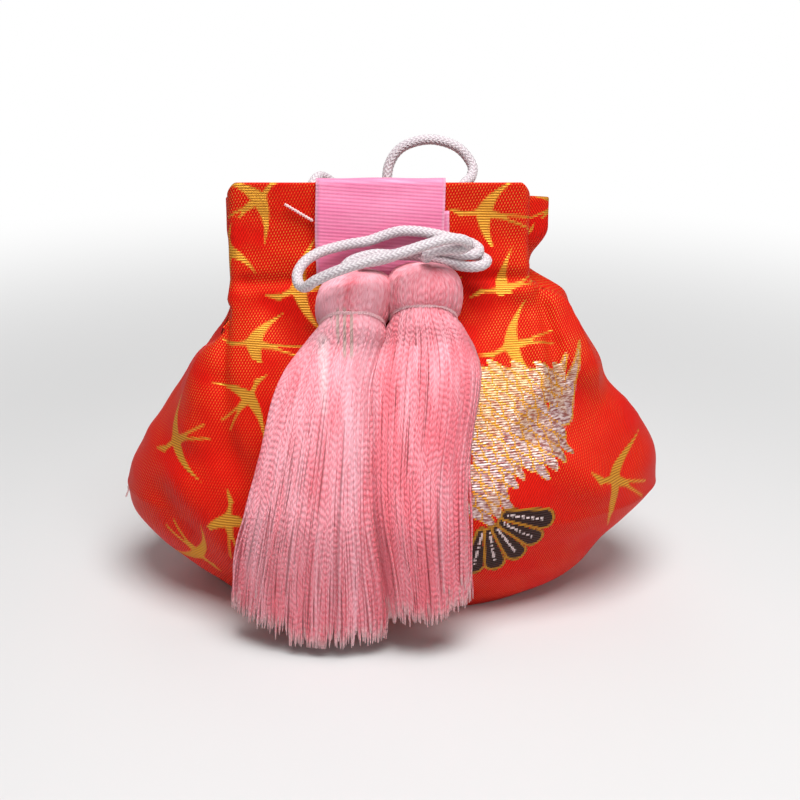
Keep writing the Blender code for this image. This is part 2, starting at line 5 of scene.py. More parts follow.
import bpy
import numpy as np
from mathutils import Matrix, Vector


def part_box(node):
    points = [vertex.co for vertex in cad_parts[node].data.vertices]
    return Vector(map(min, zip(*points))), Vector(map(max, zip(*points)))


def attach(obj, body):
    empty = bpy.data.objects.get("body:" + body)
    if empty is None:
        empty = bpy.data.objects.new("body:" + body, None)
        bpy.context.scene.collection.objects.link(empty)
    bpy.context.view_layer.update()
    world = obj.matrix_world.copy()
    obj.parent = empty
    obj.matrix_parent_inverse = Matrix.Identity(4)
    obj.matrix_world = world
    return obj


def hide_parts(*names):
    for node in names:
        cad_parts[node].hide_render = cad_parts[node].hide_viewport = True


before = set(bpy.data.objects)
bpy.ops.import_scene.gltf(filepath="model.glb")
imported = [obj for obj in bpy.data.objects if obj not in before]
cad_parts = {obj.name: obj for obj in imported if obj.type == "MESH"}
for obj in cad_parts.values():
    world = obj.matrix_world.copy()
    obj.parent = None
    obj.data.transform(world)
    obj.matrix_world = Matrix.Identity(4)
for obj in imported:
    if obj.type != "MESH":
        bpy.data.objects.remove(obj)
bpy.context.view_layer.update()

bl_info = {
    "name": "Brocade drawstring pouch",
    "version": (1, 0, 0),
    "blender": (4, 5, 0),
    "location": "View3D > Sidebar > Pouch",
    "description": "Makes the cloth, cords, ribbon and tassels of a small brocade pouch",
    "category": "Add Mesh",
}

MM = 0.001
FULL_TURN = 2 * math.pi

# Sizes of the solids, repeated here because the solids' source can't be read. Where a size has two entries,
# True is the right side's, as the camera sees it, and False the left side's.
BELLY_HEIGHT = 20.0 * MM
SHOULDER_HEIGHT = 61.0 * MM
NECK_HEIGHT = 78.0 * MM
REAR_RIM_DROP = 3.5 * MM
NECK_LEAN = 1.5 * MM
NECK_HALF_WIDTH = 26.9 * MM
NECK_DEPTH = 9.0 * MM
CORNER_REACH = {True: 53.4 * MM, False: 49.0 * MM}
BELLY_DEPTH = 52.0 * MM
FRONT_HALF_WIDTH = 34.0 * MM
BASE_WIDTH = 62.0 * MM
BASE_DEPTH = 33.0 * MM
REAR_PANEL_EXTRA = {True: 4.0 * MM, False: 1.0 * MM}
REAR_PANEL_RISE = 1.8
RIM_CORNER_RADIUS = 1.8 * MM
RIM_CORNER_DROP = 1.44 * MM
BROCADE_THICKNESS = 0.8 * MM
LINING_THICKNESS = 0.4 * MM
PLEAT_TUCK = 9.0 * MM
PLEAT_GROOVE = 1.8 * MM
PLEAT_FOLD_RADIUS = 1.8 * MM
LINING_TOP_DROP = 4.5 * MM
LINING_FOLD_LEAD = 1.4
LINING_NECK_ROUNDNESS = 6.0
LINING_FLOOR_INSET = 3.5 * MM
LINING_TURN_HEIGHT = 4.0 * MM
GAP = 0.3 * MM
RIBBON_WIDTH = 22.8 * MM
RIBBON_CENTRE = 0.3 * MM
RIBBON_THICKNESS = 0.35 * MM
RIBBON_BOTTOM = 62.6 * MM
RIBBON_END = 73.6 * MM
RIBBON_SHIFT = 0.9 * MM
RIBBON_INSIDE = 3.0 * MM
RIBBON_LIFT = 0.4 * MM
CORD_DIAMETER = 1.9 * MM
THREAD_END_DROP = 6.2 * MM
THREAD_END_RISE = 3.1 * MM
THREAD_END_RUN = 4.9 * MM
THREAD_END_GAP = 0.5 * MM
THREAD_END_LIFT = 0.5 * MM
THREAD_END_RADIUS = 0.28 * MM
TASSEL_PARTING = 1.6 * MM
TASSEL_DEPTH = 8.4 * MM
TASSEL_CLEARANCE = 0.5 * MM
HEAD_TOP = {True: 65.7 * MM, False: 64.6 * MM}
HEAD_LENGTH = 4.9 * MM
WAIST_LENGTH = 1.15 * MM
SKIRT_END = {True: 9.0 * MM, False: 5.0 * MM}
SKIRT_SPREAD = {True: 14.8 * MM, False: 28.4 * MM}

# Sizes of what only this script makes: braid, plies, twists, strands and windings
CORD_STATION = 0.13 * MM
BRAID_SWELL = 0.045 * MM
BRAID_GROOVE = 0.03 * MM
PLY_PLACE = 0.48
PLY_RADIUS = 0.56
THREAD_END_TWIST = 1.1 * MM
LOOSE_THREAD_RADIUS = 0.18 * MM
LOOSE_THREAD_INSET = (0.2 * MM, 0.2 * MM, 0.1 * MM)
LOOSE_THREAD_FALL = (0.35 * MM, 0.3 * MM, 2.2 * MM)
LOOSE_THREAD_BEND = 0.15 * MM
LOOSE_THREAD_TWIST = 0.8 * MM
WAIST_SAG = 1.2 * MM
SIDE_SAG = 3.6 * MM
PARTING_LEAN = 2.6 * MM
PARTING_WIDTH = 7 * MM
BINDING_TURNS = 3
BINDING_RADIUS = 0.2 * MM
BINDING_TWIST = 1.0 * MM
BINDING_SWELL = 1.085
BINDING_PITCH = 0.16 * MM
CORE_SHARE = 0.965
SKIRT_LENGTH = 58 * MM
EXTRA_LEFT_STRANDS = 1.25
GOLDEN_STEP = 0.61803398875
STRAND_SEEDS = {True: 21, False: 7}
LOCK_COUNT = {True: 13, False: 19}

# Roundness of the bag's sections, and curves of its sizes. Each curve pairs shares of a stretch of height,
# from base to belly or from belly to shoulder, with shares of the way from one size to another. SKIRT_EDGE
# gives the skirts' outer edges in shares of their spread, from the end up to the waist.
BASE_ROUNDNESS = 2.4
BELLY_ROUNDNESS = 1.9
WIDEST_PANEL = 0.92
LINING_PANEL = 0.6
LOWER_REACH = {
    True: ((0.0, 0.16, 0.4, 0.65, 0.83, 1.0), (0.0, 0.3, 0.5, 0.7, 0.87, 1.0)),
    False: ((0.0, 0.16, 0.32, 0.5, 0.75, 1.0), (0.0, 0.2, 0.42, 0.66, 0.93, 1.0)),
}
LOWER_DEPTH = ((0.0, 0.25, 0.5, 0.75, 1.0), (0.0, 0.37, 0.72, 0.93, 1.0))
UPPER_DEPTH = ((0.0, 0.15, 0.29, 0.44, 0.58, 0.73, 0.85, 1.0), (1.0, 0.98, 0.88, 0.74, 0.58, 0.39, 0.2, 0.05))
UPPER_REACH = {
    True: ((0.0, 0.19, 0.31, 0.47, 0.66, 0.83, 0.9, 1.0), (1.0, 0.96, 0.85, 0.67, 0.66, 0.66, 0.72, 0.85)),
    False: ((0.0, 0.11, 0.24, 0.39, 0.54, 0.66, 0.74, 1.0), (1.0, 0.93, 0.8, 0.68, 0.6, 0.48, 0.32, 0.1)),
}
PANEL_EDGE = {
    True: ((0.0, 0.4, 0.5, 0.6, 0.7, 0.8, 0.9, 1.0), (0.42, 0.34, 0.3, 0.26, 0.22, 0.16, 0.09, 0.03)),
    False: ((0.0, 0.39, 0.54, 0.74, 0.85, 1.0), (0.15, 0.08, 0.06, 0.05, 0.03, 0.0)),
}
PLEAT_SHARE = {
    True: ((0.0, 0.4, 0.5, 0.66, 0.83, 0.9, 1.0), (0.0, 0.0, 0.1, 0.25, 0.4, 0.5, 1.0)),
    False: ((0.0, 0.25, 0.4, 0.54, 0.66, 0.74, 0.85, 0.95), (0.0, 0.0, 0.08, 0.2, 0.33, 0.5, 0.75, 1.0)),
}
SKIRT_EDGE = {
    True: ((0.0, 0.3, 0.5, 0.62, 0.78, 0.88, 1.0), (1.0, 0.95, 0.95, 1.02, 1.1, 1.04, 0.86)),
    False: ((0.0, 0.2, 0.42, 0.6, 0.72, 0.84, 1.0), (1.0, 0.95, 0.85, 0.76, 0.7, 0.62, 0.44)),
}

# A tassel's head as pairs of height and width, both as shares, and the shares up the skirt that are read
HEAD_PROFILE = ((1.0, 0.1), (0.985, 0.3), (0.94, 0.5), (0.84, 0.72), (0.66, 0.9), (0.45, 0.99), (0.22, 1.0))
SKIRT_SHARES = (0.985, 0.95, 0.9, 0.84, 0.78, 0.7, 0.6, 0.5, 0.4, 0.3, 0.2, 0.1, 0.0)

# The camera, as read from the photo's perspective, the sky's light on the pieces and the floor's half width
CAMERA_AIM = (3.8 * MM, 0.0, 36.0 * MM)
CAMERA_TILT = 22.0
CAMERA_DISTANCE = 253.0 * MM
CAMERA_LENS = 60.0
SKY_LIGHT = 0.24
FLOOR_REACH = 4.0

# Routes of the two cords, in millimetres, as in the solids, and of the knot's small petal
KNOT_ROUTE = (
    (-3.2, -11.2, 66.2), (-0.6, -11.6, 66.6), (2.2, -11.4, 67.3), (5.0, -10.4, 68.1), (8.0, -9.2, 68.3),
    (11.2, -9.3, 67.9), (14.4, -9.7, 67.4), (16.8, -9.4, 67.3), (17.6, -8.0, 67.8), (16.0, -6.8, 68.6),
    (13.0, -6.4, 69.3), (10.0, -6.4, 70.0), (6.8, -6.3, 70.5), (3.6, -6.3, 70.5), (0.8, -6.4, 69.7),
    (-1.8, -6.9, 68.9), (-4.4, -7.0, 68.5), (-7.4, -7.3, 67.9), (-10.4, -8.3, 67.2), (-12.8, -9.8, 66.0),
    (-14.0, -11.5, 64.4), (-13.7, -13.2, 63.0), (-12.4, -15.0, 63.0), (-10.6, -16.6, 64.6),
    (-7.2, -17.4, 66.4), (-3.4, -17.6, 67.8), (0.2, -17.5, 68.8), (3.8, -17.2, 69.6),
    (8.0, -16.2, 70.7), (11.6, -15.0, 71.4), (14.4, -13.8, 71.0), (15.5, -12.9, 69.9),
    (14.2, -12.6, 69.1), (12.0, -12.8, 69.0), (9.8, -13.0, 68.9), (8.6, -12.6, 68.1), (8.3, -11.7, 67.1),
)
PETAL_ROUTE = (
    (-6.6, -10.4, 64.2), (-4.8, -9.6, 66.0), (-1.0, -8.8, 67.0), (2.5, -8.7, 66.9), (6.5, -8.4, 66.7),
    (10.5, -8.8, 66.2), (14.5, -10.0, 65.3), (17.6, -10.2, 65.3), (19.0, -8.9, 65.9), (17.6, -7.6, 66.4),
    (15.4, -7.1, 66.4), (13.4, -6.7, 65.6),
)
HANGING_ROUTE = (
    (-11.6, 1.3, 70.6), (-12.0, 1.9, 73.6), (-12.0, 3.8, 76.5), (-10.8, 6.2, 77.5), (-8.8, 7.9, 76.0),
    (-7.4, 8.1, 73.0), (-6.6, 7.6, 69.0), (-6.1, 7.4, 65.0), (-5.6, 8.2, 60.5), (-5.0, 11.0, 56.0),
    (-4.2, 14.2, 51.5), (-3.2, 17.8, 46.5), (-2.0, 21.2, 41.0), (0.0, 23.6, 36.6), (3.0, 24.4, 35.2),
    (5.6, 22.9, 37.8), (6.4, 20.2, 42.6), (6.0, 16.4, 48.4), (5.0, 12.4, 54.0), (3.8, 9.0, 59.5),
    (2.6, 7.8, 65.0), (1.8, 8.0, 70.0), (1.4, 9.2, 75.0), (1.9, 10.4, 79.0), (4.4, 11.0, 82.0),
    (9.3, 11.0, 83.3), (14.2, 10.8, 82.0), (17.0, 10.0, 79.0), (16.9, 8.2, 77.0), (15.6, 5.8, 76.3),
    (13.8, 2.8, 74.4), (12.8, 1.3, 71.0),
)

# Creases and swellings of the cloth: a line from one place to another (x and height, in mm), its half width,
# its push outwards in mm, and its side, -1 for the front and 1 for the back
FOLDS = (
    (29.2, 59.0, 31.5, 50.0, 1.0, -1.4, -1), (31.5, 50.0, 33.0, 44.0, 1.3, -2.0, -1),
    (33.6, 44.5, 36.0, 41.0, 1.7, -1.6, -1), (36.0, 40.0, 45.0, 29.0, 4.2, -1.5, -1),
    (36.5, 52.0, 40.0, 45.0, 3.0, 0.5, -1), (40.0, 44.0, 47.0, 34.0, 3.6, 0.7, -1),
    (27.5, 54.0, 30.0, 44.0, 1.6, 0.6, -1), (31.0, 33.0, 41.0, 25.0, 3.4, 1.2, -1),
    (24.0, 15.0, 40.0, 13.0, 3.6, -0.9, -1), (28.0, 38.0, 34.0, 34.0, 2.0, -0.8, -1),
    (-27.6, 56.0, -28.2, 44.0, 0.9, -1.5, -1), (-28.2, 44.0, -27.2, 33.0, 1.5, -1.2, -1),
    (-32.0, 48.0, -34.0, 35.0, 3.0, 1.2, -1), (-27.0, 32.0, -20.0, 24.0, 2.8, -1.2, -1),
    (-36.0, 26.0, -26.0, 15.0, 3.6, 0.9, -1), (-40.0, 22.0, -33.0, 14.0, 2.6, -0.8, -1),
    (-24.0, 61.0, 2.0, 61.6, 1.2, -0.7, -1), (2.0, 61.6, 27.0, 61.8, 1.1, -1.0, -1),
    (12.0, 58.6, 26.0, 59.4, 1.6, 0.6, -1), (-26.0, 69.0, -14.0, 65.0, 1.6, 0.45, -1),
    (-25.0, 73.5, -13.0, 70.5, 1.4, -0.4, -1), (16.0, 75.0, 26.0, 68.0, 2.0, -0.4, -1),
    (13.0, 70.0, 22.0, 65.0, 1.8, 0.4, -1), (-20.0, 57.0, -14.0, 48.0, 2.2, -0.6, -1),
    (-20.0, 58.0, -27.0, 42.0, 2.6, -0.8, 1), (24.0, 58.0, 30.0, 40.0, 2.8, -0.9, 1),
    (-8.0, 60.0, -12.0, 44.0, 3.0, 0.5, 1), (10.0, 60.0, 15.0, 42.0, 3.0, 0.5, 1),
    (-38.0, 30.0, -26.0, 18.0, 4.0, -0.6, 1), (40.0, 30.0, 28.0, 17.0, 4.0, -0.6, 1),
    (0.0, 30.0, 20.0, 20.0, 6.0, 0.5, 1),
)
DEEPEST_CREASE = 1.2

# Small flying cranes on the cloth, in millimetres of cloth: across, up, turn in degrees, length and span
CRANES = (
    (19.5, 95.5, 168, 1.05, 1.0), (-22.0, 97.5, 35, 1.0, 1.0), (-27.0, 88.0, 80, 0.8, 0.8),
    (-13.5, 82.0, 185, 1.0, 1.3), (11.0, 84.0, 170, 0.8, 0.8), (23.0, 82.0, 200, 1.0, -0.95),
    (24.5, 71.0, 190, 1.0, 1.15), (-21.5, 71.0, 172, 1.1, 1.0), (-24.0, 60.0, 48, 0.9, 1.0),
    (-39.4, 50.0, 203, 1.0, 1.15), (-27.5, 37.0, 100, 0.9, -1.0), (-36.0, 28.5, 315, 1.0, 1.0),
    (46.5, 42.0, 152, 1.1, 1.35), (2.0, 62.0, 190, 1.0, 1.0), (0.0, 33.0, 10, 1.0, 1.0),
)
CRANE_REACH = 8.6
FAR_FROM_CRANES = (60.0, 60.0, 0.0)

# The scaled wing, in millimetres of cloth: where its rows start and how they lean, the size of a scale, the
# tapered lines that make its area (start, end and the half width at both) and the two lines of its plume
WING_PLACE = (18.0, 58.0)
WING_TURN = -52.0
SCALE_WIDTH = 2.1
SCALE_PITCH = 3.0
WING_LIMBS = (
    ((18.0, 63.5), (30.5, 62.5), 4.6, 4.4), ((21.0, 57.0), (28.5, 52.5), 6.0, 5.8),
    ((21.0, 50.0), (19.0, 42.5), 5.6, 3.6),
)
PLUME = (((34.6, 56.0), (37.6, 70.0), 2.2, 0.3), ((32.0, 55.0), (34.6, 68.0), 2.0, 0.5))

# The dark feathers fan out from one place, at these turns in degrees
FAN_PLACE = (19.0, 40.5)
FAN_TURNS = (-100.0, -79.0, -57.0, -35.0, -13.0)

# The cloth's UV on the back starts at the offset, and shows the front's pattern mirrored and shifted
BACK_OFFSET = 400.0
BACK_SHIFT = 9.0

# The weaves, in millimetres of cloth: the steps in which the brocade's pattern is drawn, the pitch of its
# gold weft, its twill's lean in degrees and how much wider its cross ribs stand; then the pitch of the
# lining's threads, and the ribbon's warp and the width of its edge
WARP_STEP = 0.3
WEFT_STEP = 0.42
WEFT_PITCH = 0.46
TWILL_LEAN = 62
CROSS_SHARE = 1.35
LINING_PITCH = 0.4
RIBBON_WARP_PITCH = 0.23
RIBBON_SELVEDGE = 0.4

# How steeply a chevron of the braid climbs, in pitches for each width of a column
BRAID_SLANT = 1.6

# Two spots of the left tassel, each a tapered line across and up the front, in millimetres
PALE_LOCK = ((-9.5, 54.0), (-9.0, 44.0), 0.9, 0.3)
# The second spot is painted shade: darker stripes in the gaps between strands
SHADED_GAP_SPOT = ((-6.0, 57.5), (-5.0, 53.0), 2.0, 1.4)


# Values read from curves


def smooth_step(share):
    share = np.clip(share, 0.0, 1.0)
    return share * share * (3.0 - 2.0 * share)


def read_curve(table, at):
    """Smooth curve through a table's points: cubic pieces whose slopes are those between the neighbours."""
    stations, values = (np.asarray(column, dtype=float) for column in table)
    slopes = np.gradient(values, stations)
    at = np.clip(at, stations[0], stations[-1])
    piece = np.clip(np.searchsorted(stations, at) - 1, 0, len(stations) - 2)
    span = stations[piece + 1] - stations[piece]
    t = (at - stations[piece]) / span
    return (
        values[piece] * (1 + 2 * t) * (1 - t) ** 2
        + values[piece + 1] * t * t * (3 - 2 * t)
        + span * (slopes[piece] * t * (1 - t) ** 2 - slopes[piece + 1] * t * t * (1 - t))
    )


def smooth_route(points, steps):
    """Smooth curve through given points, each stretch in even steps.

    A stretch is the cubic that leaves each of its ends along the line between that end's two neighbours.
    """
    points = np.asarray(points, dtype=float)
    ends = np.vstack([2 * points[0] - points[1], points, 2 * points[-1] - points[-2]])
    before, start, end, after = ends[:-3, None], ends[1:-2, None], ends[2:-1, None], ends[3:, None]
    t = (np.arange(steps) / steps)[None, :, None]
    curve = 0.5 * (
        2 * start + (end - before) * t + (2 * before - 5 * start + 4 * end - after) * t**2
        + (3 * start - before - 3 * end + after) * t**3
    )
    return np.vstack([curve.reshape(-1, 3), points[-1:]])


def length_along(points):
    """Length from the first point to each point of a line."""
    return np.concatenate([[0.0], np.cumsum(np.linalg.norm(np.diff(points, axis=0), axis=1))])


def even_route(points, count):
    """The same route with evenly spaced points: each coordinate is read over the length along the route."""
    length = length_along(points)
    even = np.linspace(0, length[-1], count)
    return np.stack([np.interp(even, length, points[:, axis]) for axis in range(3)], axis=1), even


# Sections of the bag


def shares_at(height):
    lower = np.clip(height / BELLY_HEIGHT, 0.0, 1.0)
    upper = np.clip((height - BELLY_HEIGHT) / (SHOULDER_HEIGHT - BELLY_HEIGHT), 0.0, 1.0)
    neck = np.clip((height - SHOULDER_HEIGHT) / (NECK_HEIGHT - SHOULDER_HEIGHT), 0.0, 1.0)
    return lower, upper, neck


def section_sizes(height, right):
    """Half depth, unfolded reach, panel edge and pleat share of one side, for a whole array of heights."""
    lower, upper, neck = shares_at(height)
    corner, half_base = CORNER_REACH[right], BASE_WIDTH / 2
    flare = corner - NECK_HALF_WIDTH
    panel_at_belly = NECK_HALF_WIDTH + flare * PANEL_EDGE[right][1][0]
    low_reach = half_base + (corner - half_base) * read_curve(LOWER_REACH[right], lower)
    low_depth = BASE_DEPTH / 2 + (BELLY_DEPTH - BASE_DEPTH) / 2 * read_curve(LOWER_DEPTH, lower)
    reach = NECK_HALF_WIDTH + flare * read_curve(UPPER_REACH[right], upper)
    panel = NECK_HALF_WIDTH + flare * read_curve(PANEL_EDGE[right], upper)
    panel = panel + (NECK_HALF_WIDTH - panel) * smooth_step(neck * 4)
    flattening = 1 - smooth_step(neck * 2)
    depth = NECK_DEPTH / 2 + (BELLY_DEPTH - NECK_DEPTH) / 2 * read_curve(UPPER_DEPTH, upper) * flattening
    pleat = np.clip(read_curve(PLEAT_SHARE[right], upper), 0.0, 1.0)
    low = height < BELLY_HEIGHT
    return (
        np.where(low, low_depth, depth),
        np.where(low, low_reach, reach),
        np.where(low, low_reach * panel_at_belly / corner, panel),
        np.where(low, 0.0, pleat),
    )


def smooth_quarter(reach, depth, panel, roundness, counts):
    """A quarter of a superellipse, from the middle of the front to the side.

    x is the reach times the angle's sine to the power 2 / roundness, and y the depth times its cosine's.
    """
    first_count, rest_count = counts
    edge = np.arcsin(np.minimum(panel / reach, WIDEST_PANEL) ** (roundness / 2))
    across = np.sin(edge) ** (2 / roundness) * np.linspace(0, 1, first_count + 1)
    first = np.arcsin(across ** (roundness / 2))
    second = edge + (math.pi / 2 - edge) * np.linspace(0, 1, rest_count + 1)[1:]
    angle = np.concatenate([first, second], axis=1)
    x = reach * np.sin(angle) ** (2 / roundness)
    y = depth * np.abs(np.cos(angle)) ** (2 / roundness)
    y[:, -1] = 0.0
    return x, y


def pleated_quarter(depth, panel, steps):
    """Flat panel, half a circle at its edge, a straight leg back in, and a quarter circle in the valley."""
    flat_steps, fold_steps, leg_steps, valley_steps = steps
    groove = PLEAT_GROOVE / 2
    radius = np.minimum(PLEAT_FOLD_RADIUS, (depth - groove) / 2)
    flat_x = (panel - radius) * np.linspace(0, 1, flat_steps + 1)[:-1]
    turn = np.linspace(0, math.pi, fold_steps + 2)
    turn_x = panel - radius + radius * np.sin(turn)
    turn_y = depth - radius + radius * np.cos(turn)
    leg = np.linspace(0, 1, leg_steps + 1)[1:]
    valley = panel - PLEAT_TUCK
    leg_x = turn_x[:, -1:] + (valley + groove - turn_x[:, -1:]) * leg
    leg_y = turn_y[:, -1:] + (groove - turn_y[:, -1:]) * leg
    bend = np.linspace(0, math.pi / 2, valley_steps)[1:]
    bend_x = valley + groove - groove * np.sin(bend)
    bend_y = np.broadcast_to(groove * np.cos(bend), bend_x.shape)
    x = np.concatenate([flat_x, turn_x, leg_x, bend_x], axis=1)
    y = np.concatenate([np.broadcast_to(depth, flat_x.shape), turn_y, leg_y, bend_y], axis=1)
    y[:, -1] = 0.0
    return x, y


def bag_rings(heights, steps, pleated=True):
    """Rings of the bag at an array of heights, each a blend of a superellipse and a folded section.

    steps counts the points of each quarter: over the panel, its fold, the leg back in and the valley. In the
    neck the rear panel is wider, its rim lower and the rim's corners are rounded off. Without pleats the
    rings are the lining's: superellipses that narrow where the outer bag folds.
    """
    height = np.asarray(heights, dtype=float)[:, None]
    lower, _, neck = shares_at(height)
    roundness = BASE_ROUNDNESS + (BELLY_ROUNDNESS - BASE_ROUNDNESS) * smooth_step(lower)
    rest = sum(steps[1:])
    columns_x, columns_y = [], []
    for right, rear in ((True, False), (True, True), (False, True), (False, False)):
        depth, reach, panel, pleat = section_sizes(height, right)
        if pleated:
            smooth_x, smooth_y = smooth_quarter(reach, depth, panel, roundness, (steps[0], rest))
            fold_x, fold_y = pleated_quarter(depth, panel, steps)
            x = (1 - pleat) * smooth_x + pleat * fold_x
            y = (1 - pleat) * smooth_y + pleat * fold_y
            if rear:
                widening = REAR_PANEL_EXTRA[right] * smooth_step(REAR_PANEL_RISE * neck)
                x = x + widening * smooth_step(x / panel) * np.minimum(y / (depth / 2), 1.0)
        else:
            folded = np.minimum(1.0, LINING_FOLD_LEAD * pleat)
            reach = (1 - folded) * reach + folded * (panel - PLEAT_TUCK)
            boxy = roundness + (LINING_NECK_ROUNDNESS - BELLY_ROUNDNESS) * folded**4
            x, y = smooth_quarter(reach, depth, LINING_PANEL * reach, boxy, (steps[0], rest))
        x = x if right else -x
        y = y if rear else -y
        if right == rear:
            x, y = x[:, ::-1], y[:, ::-1]
        columns_x.append(x[:, :-1])
        columns_y.append(y[:, :-1])
    x, y = np.concatenate(columns_x, axis=1), np.concatenate(columns_y, axis=1)
    depth = section_sizes(height, True)[0]
    z = height - REAR_RIM_DROP * neck * (y / depth + 1) / 2
    if pleated:
        edge = np.where(x > 0, section_sizes(height, True)[2], section_sizes(height, False)[2])
        near_edge = (np.abs(x) - edge + RIM_CORNER_RADIUS) / RIM_CORNER_RADIUS
        z = z - RIM_CORNER_DROP * neck**8 * np.clip(near_edge, 0, 1) ** 2
    return np.stack([x, y + NECK_LEAN * neck, z], axis=2)


class FrontFace:
    """The bag's front as a table of y over x and height, read between its entries."""

    def __init__(self):
        self.x = np.linspace(-FRONT_HALF_WIDTH, FRONT_HALF_WIDTH, 137)
        self.height = np.linspace(0, NECK_HEIGHT, 157)
        rings = bag_rings(self.height, (6, 4, 2, 3))
        # The rings start at the middle of the front, so the front is their last columns and their first ones
        front = np.concatenate([rings[:, -8:], rings[:, :8]], axis=1)
        self.y = np.array([np.interp(self.x, row[:, 0], row[:, 1]) for row in front])

    @staticmethod
    def steps_along(stations, value):
        """How many steps of evenly spaced stations lie before a value, kept short of the last one."""
        return np.clip((value - stations[0]) / (stations[1] - stations[0]), 0, len(stations) - 1.001)

    def at(self, x, height):
        x, height = np.broadcast_arrays(np.asarray(x, dtype=float), np.asarray(height, dtype=float))
        across = self.steps_along(self.x, x)
        up = self.steps_along(self.height, height)
        i, j = up.astype(int), across.astype(int)
        s, t = up - i, across - j
        low = self.y[i, j] * (1 - t) + self.y[i, j + 1] * t
        high = self.y[i + 1, j] * (1 - t) + self.y[i + 1, j + 1] * t
        return low * (1 - s) + high * s


FRONT = FrontFace()


# Meshes


def make_piece(name, points, quads, quad_uv, tris=None, tri_uv=None):
    """A smooth mesh from whole arrays: points, faces with four and three corners, and a UV pair a corner."""
    mesh = bpy.data.meshes.new(name)
    corners = [np.asarray(quads).reshape(-1)]
    starts = [4 * np.arange(len(quads))]
    uv = [np.asarray(quad_uv).reshape(-1, 2)]
    if tris is not None:
        corners.append(np.asarray(tris).reshape(-1))
        starts.append(4 * len(quads) + 3 * np.arange(len(tris)))
        uv.append(np.asarray(tri_uv).reshape(-1, 2))
    corners, starts, uv = np.concatenate(corners), np.concatenate(starts), np.concatenate(uv)
    mesh.vertices.add(len(points))
    mesh.vertices.foreach_set("co", np.asarray(points, dtype=np.float32).reshape(-1))
    mesh.loops.add(len(corners))
    mesh.loops.foreach_set("vertex_index", corners.astype(np.int32))
    mesh.polygons.add(len(starts))
    mesh.polygons.foreach_set("loop_start", starts.astype(np.int32))
    mesh.update(calc_edges=True)
    layer = mesh.uv_layers.new(name="cloth")
    layer.uv.foreach_set("vector", uv.astype(np.float32).reshape(-1))
    mesh.validate()
    mesh.shade_smooth()
    piece = bpy.data.objects.new(name, mesh)
    bpy.context.scene.collection.objects.link(piece)
    return piece


def grid_normals(grid):
    """Outward normals of rings stacked upwards: the direction along a ring crossed with the one up."""
    along = np.roll(grid, -1, axis=1) - np.roll(grid, 1, axis=1)
    up = np.gradient(grid, axis=0)
    normal = np.cross(along, up)
    return normal / np.maximum(np.linalg.norm(normal, axis=2, keepdims=True), 1e-9)


def ring_faces(rows, columns):
    """Four-cornered faces between neighbouring rings whose columns go round and close."""
    i = np.arange(rows - 1)[:, None]
    j = np.arange(columns)[None, :]
    k = (j + 1) % columns
    return np.stack([i * columns + j, i * columns + k, (i + 1) * columns + k, (i + 1) * columns + j], axis=2)


def end_fans(rows, columns):
    """Three-cornered faces that close stacked rings, a fan at each end.

    The points that the fans meet in come after the rings' own: the first ring's, then the last ring's.
    """
    j = np.arange(columns)
    k = (j + 1) % columns
    last = (rows - 1) * columns
    return np.concatenate([
        np.stack([k, j, np.full(columns, rows * columns)], axis=1),
        np.stack([last + j, last + k, np.full(columns, rows * columns + 1)], axis=1),
    ])


def ring_points(rings):
    """The points of stacked rings, then the middles of the first and the last ring."""
    return np.concatenate([rings.reshape(-1, 3), rings[:1].mean(axis=1), rings[-1:].mean(axis=1)])


def tube_set(centres, side, up, radius, sides):
    """Closed tubes: round each centre, side times the cosine plus up times the sine, with a fan at both ends.

    centres, side and up are tubes by stations by 3, and radius is tubes by stations, or by sides as well.
    Returns the points, the faces with four and with three corners, and both kinds of the first tube alone.
    """
    tubes, stations = centres.shape[:2]
    angle = FULL_TURN * np.arange(sides) / sides
    ring = side[:, :, None] * np.cos(angle)[:, None] + up[:, :, None] * np.sin(angle)[:, None]
    if radius.ndim == 2:
        radius = np.repeat(radius[:, :, None], sides, axis=2)
    skin = centres[:, :, None] + ring * radius[..., None]
    points = np.concatenate([skin.reshape(tubes, -1, 3), centres[:, :1], centres[:, -1:]], axis=1)
    quad = ring_faces(stations, sides).reshape(-1, 4)
    tri = end_fans(stations, sides)
    base = (points.shape[1] * np.arange(tubes))[:, None, None]
    quads = (quad[None] + base).reshape(-1, 4)
    tris = (tri[None] + base).reshape(-1, 3)
    return points.reshape(-1, 3), quads, tris, quad, tri


def tube_corner_uv(quad, tri, sides, stations, along, tube_value=None):
    """UV of each face corner: the length along its tube, and its tube's own value or the share round."""
    around = (quad % sides) / sides
    around[:, 1:3] = np.where(around[:, 1:3] == 0, 1.0, around[:, 1:3])
    tri_station = np.minimum(tri // sides, stations - 1) * (tri != stations * sides)
    quad_u, tri_u = along[:, quad // sides], along[:, tri_station]
    if tube_value is None:
        quad_v = np.broadcast_to(around, quad_u.shape)
        tri_v = np.zeros_like(tri_u)
    else:
        quad_v = np.broadcast_to(tube_value[:, None, None], quad_u.shape)
        tri_v = np.broadcast_to(tube_value[:, None, None], tri_u.shape)
    quad_uv = np.stack([quad_u, quad_v], axis=3).reshape(-1, 4, 2)
    tri_uv = np.stack([tri_u, tri_v], axis=3).reshape(-1, 3, 2)
    return quad_uv, tri_uv


def carried_frame(points):
    """Side and up directions along a route, carried on from point to point so that a tube doesn't twist."""
    tangent = np.gradient(points, axis=0)
    tangent /= np.linalg.norm(tangent, axis=1, keepdims=True)
    side = np.empty_like(points)
    start = np.cross(tangent[0], (0.0, 0.0, 1.0))
    if np.linalg.norm(start) < 0.1:
        start = np.cross(tangent[0], (0.0, 1.0, 0.0))
    side[0] = start / np.linalg.norm(start)
    for i in range(1, len(points)):
        carried = side[i - 1] - tangent[i] * np.dot(side[i - 1], tangent[i])
        side[i] = carried / np.linalg.norm(carried)
    return side, np.cross(tangent, side)


